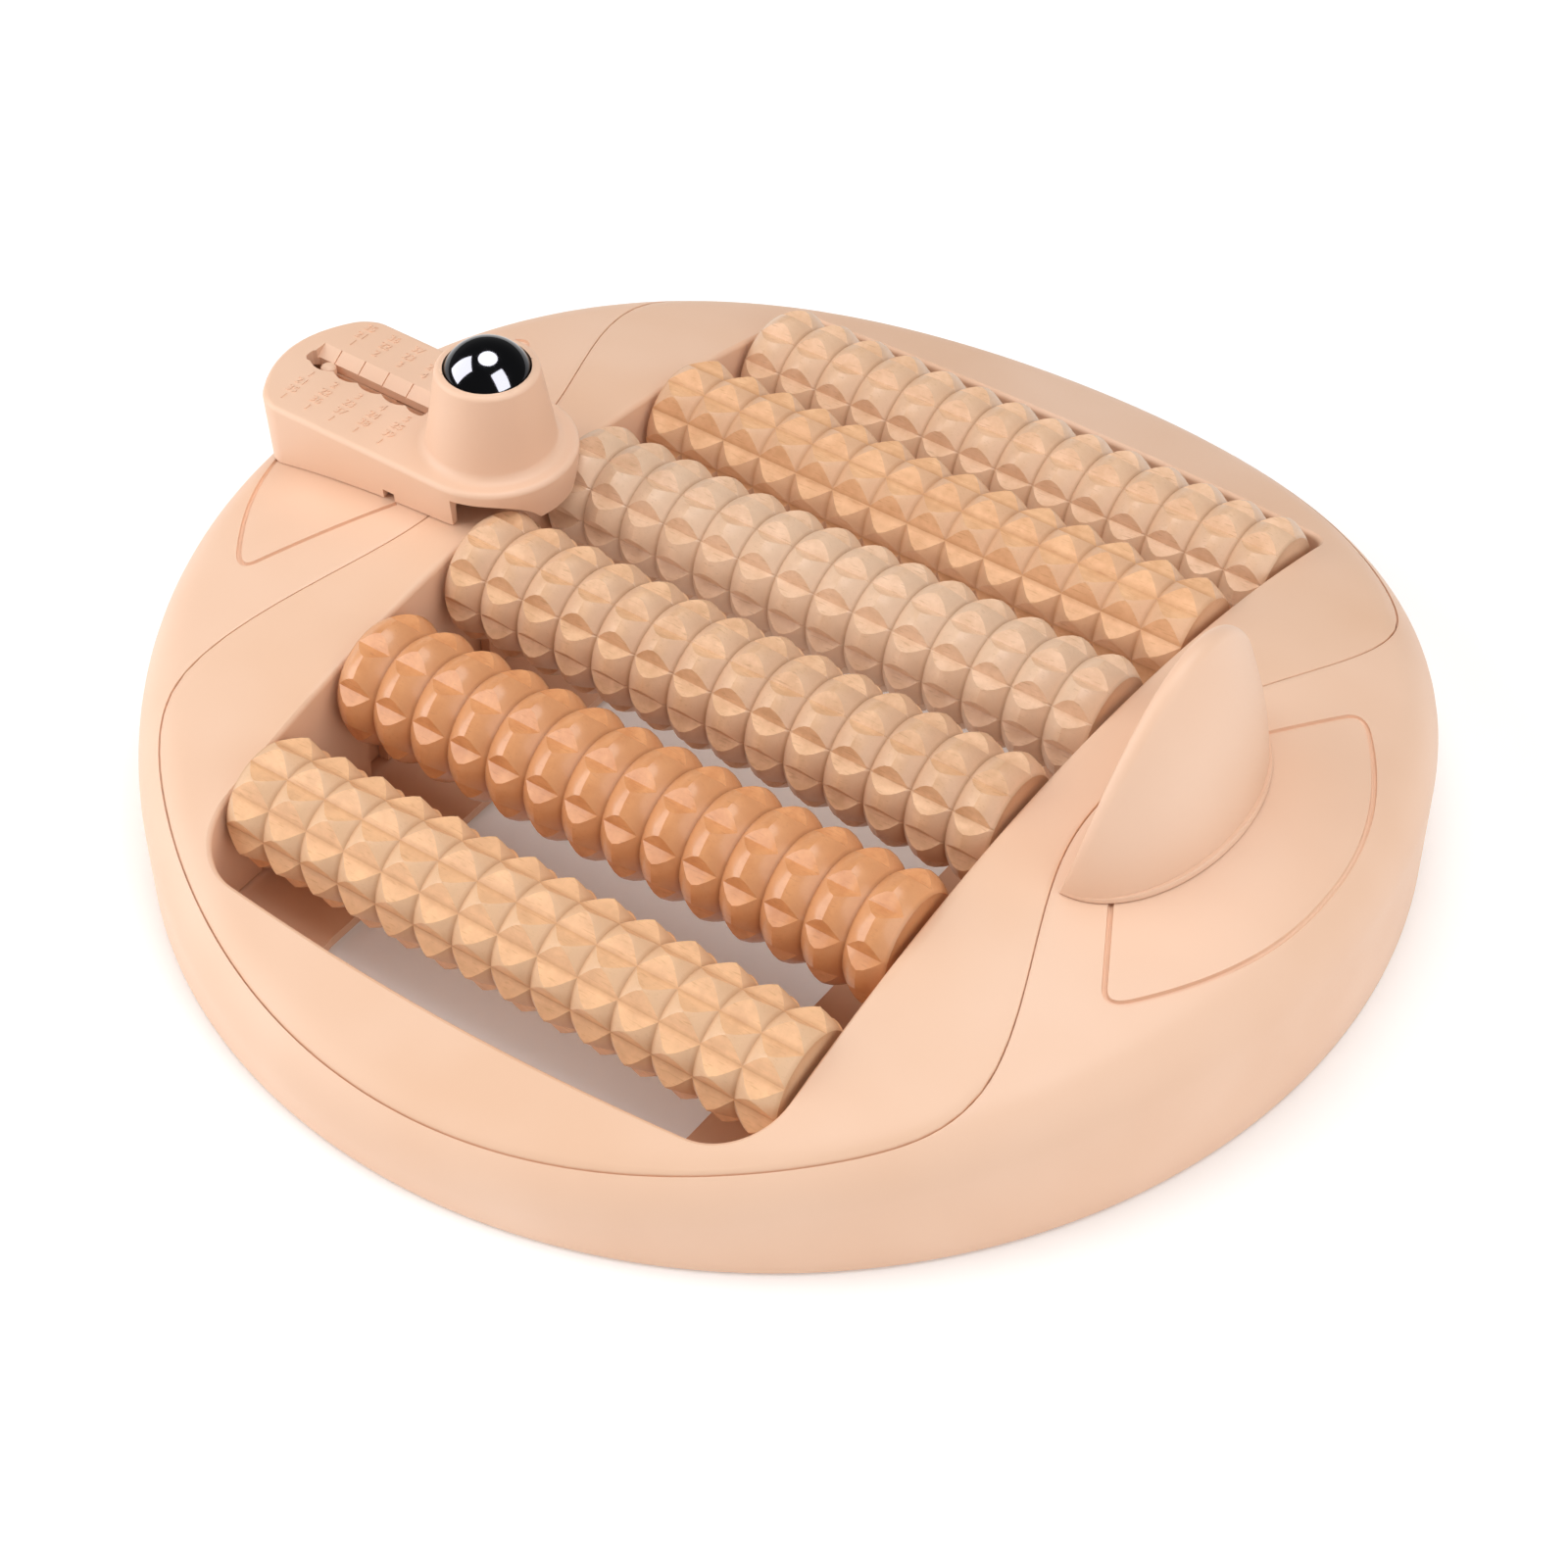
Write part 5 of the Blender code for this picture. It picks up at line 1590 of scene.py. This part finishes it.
@dataclass
class Studio:
    """Pale floor, even sky light, softboxes and the camera."""

    azimuth: float = math.radians(35.582)
    elevation: float = math.radians(44.031)
    lens_mm: float = 85.155
    sensor_mm: float = 36.0
    distance: float = 0.824722
    shift_right: float = -0.001050
    shift_up: float = -0.002112
    sky: float = 0.19
    floor_size: float = 40.0
    floor_tones: tuple[str, str] = ("#FAFAFA", "#F8F8F8")
    floor_mottle: float = 3.0
    floor_roughness: float = 0.9
    # The floor's own light: half of it below the object, all of it beside, and more far away, where the lamps
    # don't reach.
    floor_glow: float = 0.16
    far_glow: float = 0.65
    beside: tuple[float, float] = (0.10, 0.17)
    far_away: tuple[float, float] = (0.5, 2.2)
    softboxes: tuple[Softbox, ...] = (
        Softbox("octabox", (0.06, 0.06, 0.99), 1.6, 1.5, 1.5, 2.33, "DISK"),
        Softbox("left_softbox", (-0.72, -0.57, 0.40), 1.5, 1.4, 1.3, 2.55),
        Softbox("right_softbox", (0.90, -0.13, 0.42), 1.5, 1.5, 1.3, 1.35),
    )
    # The same three lamps as the mirror ball shows them, at full strength.
    ball_lamps: tuple[Softbox, ...] = (
        Softbox("ball_window_left", (-0.713, -0.428, 0.555), 1.45, 1.0, 1.2, 30.0),
        Softbox("ball_lamp_above", (-0.091, 0.123, 0.988), 1.53, 1.05, 1.05, 30.0, "DISK"),
        Softbox("ball_window_right", (0.780, -0.138, 0.611), 1.33, 0.8, 1.15, 30.0),
    )
    # Light that comes back up between the back rollers from a white table.
    bounce: Softbox = Softbox("table_bounce", (0.0, -0.82, -0.57), 1.2, 1.4, 1.0, 1.05)
    first_back_roller: int = 3

    def build_floor(self) -> None:
        """Lays the pale floor."""
        skin = bmesh.new()
        half = self.floor_size / 2
        skin.faces.new([skin.verts.new((x, y, 0.0)) for x, y in rectangle(-half, half, -half, half)])
        floor = to_object("studio_floor", skin)
        material, tree, shader = new_material("pale_floor")
        place = add_node(tree, "TexCoord", {}, "Object")
        mottle = add_node(tree, "TexNoise", {"Vector": place, "Scale": self.floor_mottle})
        first, second = (linear(tone) for tone in self.floor_tones)
        tones = {MIX_SHARE: mottle, MIX_A: first, MIX_B: second}
        colour = add_node(tree, "Mix", tones, MIXED, data_type="RGBA")
        away = add_node(tree, "VectorMath", {0: place}, "Value", operation="LENGTH")
        near = add_node(tree, "MapRange", {
            "Value": away, "From Min": self.beside[0], "From Max": self.beside[1],
            "To Min": self.floor_glow / 2, "To Max": self.floor_glow,
        })
        far = add_node(tree, "MapRange", {
            "Value": away, "From Min": self.far_away[0], "From Max": self.far_away[1],
            "To Max": self.far_glow,
        })
        feed(tree, shader, {
            "Base Color": colour, "Roughness": self.floor_roughness, "Emission Color": linear("#FFFFFF"),
            "Emission Strength": add_node(tree, "Math", {0: near, 1: far}),
        })
        floor.data.materials.append(material)

    def build_camera(self) -> None:
        """Places the camera at the photograph's angle."""
        cosine, sine = math.cos(self.azimuth), math.sin(self.azimuth)
        level = math.cos(self.elevation)
        away = Vector((sine * level, -cosine * level, math.sin(self.elevation)))
        right = Vector((cosine, sine, 0.0))
        up = away.cross(right)
        data = bpy.data.cameras.new("photo_camera")
        data.sensor_width = self.sensor_mm
        data.lens = self.lens_mm
        camera = bpy.data.objects.new("photo_camera", data)
        bpy.context.scene.collection.objects.link(camera)
        camera.location = away * self.distance + right * self.shift_right + up * self.shift_up
        camera.rotation_euler = Matrix((right, up, away)).transposed().to_euler()
        bpy.context.scene.camera = camera

    def build(self, ball: Object, rollers: Sequence[Object]) -> None:
        """Builds floor, sky, lamps and camera.

        Args:
            ball: Mirror ball, which has lamps of its own.
            rollers: Wooden rollers, the back ones of which the table lights from below.
        """
        world = bpy.data.worlds.new("studio")
        world.use_nodes = True
        backdrop = world.node_tree.nodes["Background"]
        feed(world.node_tree, backdrop, {"Color": linear("#FFFFFF"), "Strength": self.sky})
        bpy.context.scene.world = world
        bpy.context.scene.view_settings.view_transform = "Standard"
        self.build_floor()
        off_ball = linked("off_ball", [ball], "EXCLUDE")
        on_ball = linked("on_ball", [ball], "INCLUDE")
        for lamp in self.softboxes:
            lamp.build(off_ball)
        for lamp in self.ball_lamps:
            lamp.build(on_ball)
        back_rollers = linked("on_back_rollers", rollers[self.first_back_roller:], "INCLUDE")
        self.bounce.build(back_rollers, on_ball)
        self.build_camera()


def clear_scene() -> None:
    """Removes the objects that a new file starts with."""
    for obj in list(bpy.data.objects):
        bpy.data.objects.remove(obj, do_unlink=True)


def axle_places(record: dict) -> list[tuple[float, float]]:
    """Reads each roller's axle from its joint.

    Args:
        record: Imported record.

    Returns:
        Y and Z of each axle, from front to back.
    """
    joints = {joint["name"]: joint for joint in record["behaviour"]["joints"]}
    spins = [joints["roller_%d_spin" % (i + 1)]["pos_m"] for i in range(ROLLER_COUNT)]
    return [(place[1], place[2]) for place in spins]


def build_rollers(axles: Sequence[tuple[float, float]]) -> list[Object]:
    """Builds the six rollers, each with its own cut, wood and turn.

    Args:
        axles: Y and Z of each axle.

    Returns:
        The rollers from front to back.
    """
    # Colours in order: wood, late wood, flecks, painted valley shade, end grain.
    yellow = TurnedWood("waxed_beech", "#F6C292", "#E1AE82", "#C38A59", "#B37648", "#E1BB97")
    warm = TurnedWood("waxed_beech_warm", "#F5C395", "#DFA97B", "#C28451", "#B27343", "#E0B592")
    tan = TurnedWood("waxed_tan_beech", "#EDC097", "#D2A278", "#AD7E55", "#9E6D45", "#DCB596")
    pale = TurnedWood("waxed_pale_beech", "#EFC9A9", "#DBB18C", "#B28762", "#A2734E", "#E3C2A5")
    straw = TurnedWood("waxed_straw_beech", "#EFC6A3", "#DCAF87", "#B28560", "#A2714C", "#E3BE9E")
    varnished = TurnedWood(
        "varnished_beech", "#E7A36D", "#D28A55", "#B87442", "#9A5A31", "#DB9D6D",
        roughness=0.34, coat=0.6, coat_roughness=0.15, growth_share=0.12,
    )
    rows: list[tuple[float, CutKind, TurnedWood, Slot]] = [
        (32.0, CutKind.PYRAMID, yellow, Slot.BEECH),
        (20.3, CutKind.SOFT, varnished, Slot.VARNISHED),
        (34.5, CutKind.DISC, tan, Slot.PALE),
        (29.0, CutKind.DISC, pale, Slot.PALE),
        (33.0, CutKind.PYRAMID, warm, Slot.BEECH),
        (35.2, CutKind.DISC, straw, Slot.PALE),
    ]
    return [
        Roller(i + 1, *axles[i], math.radians(degrees), kind, finish, slot).build()
        for i, (degrees, kind, finish, slot) in enumerate(rows)
    ]


def main() -> None:
    """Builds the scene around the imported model."""
    logging.basicConfig(level=logging.INFO, format="%(message)s")
    clear_scene()
    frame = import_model()
    axles = axle_places(frame["record"])
    form = BaseForm()
    shell_abs = MouldedAbs("peach_moulded_abs").material()
    inner_abs = MouldedAbs("peach_moulded_abs_inner", "#F0C9AD", "#EABF9F").material()
    drawn = Steel("drawn_steel", "#B9B9B7", roughness=0.30, line_mm=0.25, line_depth_mm=0.01).material()
    lapped = Steel("mirror_lapped_steel", "#313134", roughness=0.07, line_mm=2.0, line_depth_mm=0.0005)
    mirror = lapped.material()
    rubber = MouldedRubber("moulded_rubber").material()

    OuterShell(form).build(shell_abs)
    RollerFrame(form).build(inner_abs, axles)
    rollers = build_rollers(axles)
    arm = SlideArm(form)
    arm.build(shell_abs, axles[ARM_AXLES])
    ball = arm.build_ball(mirror)
    arm.build_rail(frame["nodes"]["arm_rail"], inner_abs)
    arm.build_pin(shell_abs)
    ArchFin(form).build(shell_abs)

    hardware = Hardware(frame["nodes"])
    for prefix in ("bottom_plate", "axle_cradle", "ball_seat"):
        hardware.keep(prefix, inner_abs)
    for i in range(ROLLER_COUNT):
        hardware.keep("axle_%d" % (i + 1), drawn)
    for group, count in SCREW_COUNTS.items():
        for i in range(count):
            hardware.screw("%s_screw_%d" % (group, i + 1), drawn)
    for i in range(FOOT_COUNT):
        hardware.foot("rubber_foot_%d" % (i + 1), rubber)

    Studio().build(ball, rollers)


if __name__ == "__main__":
    main()
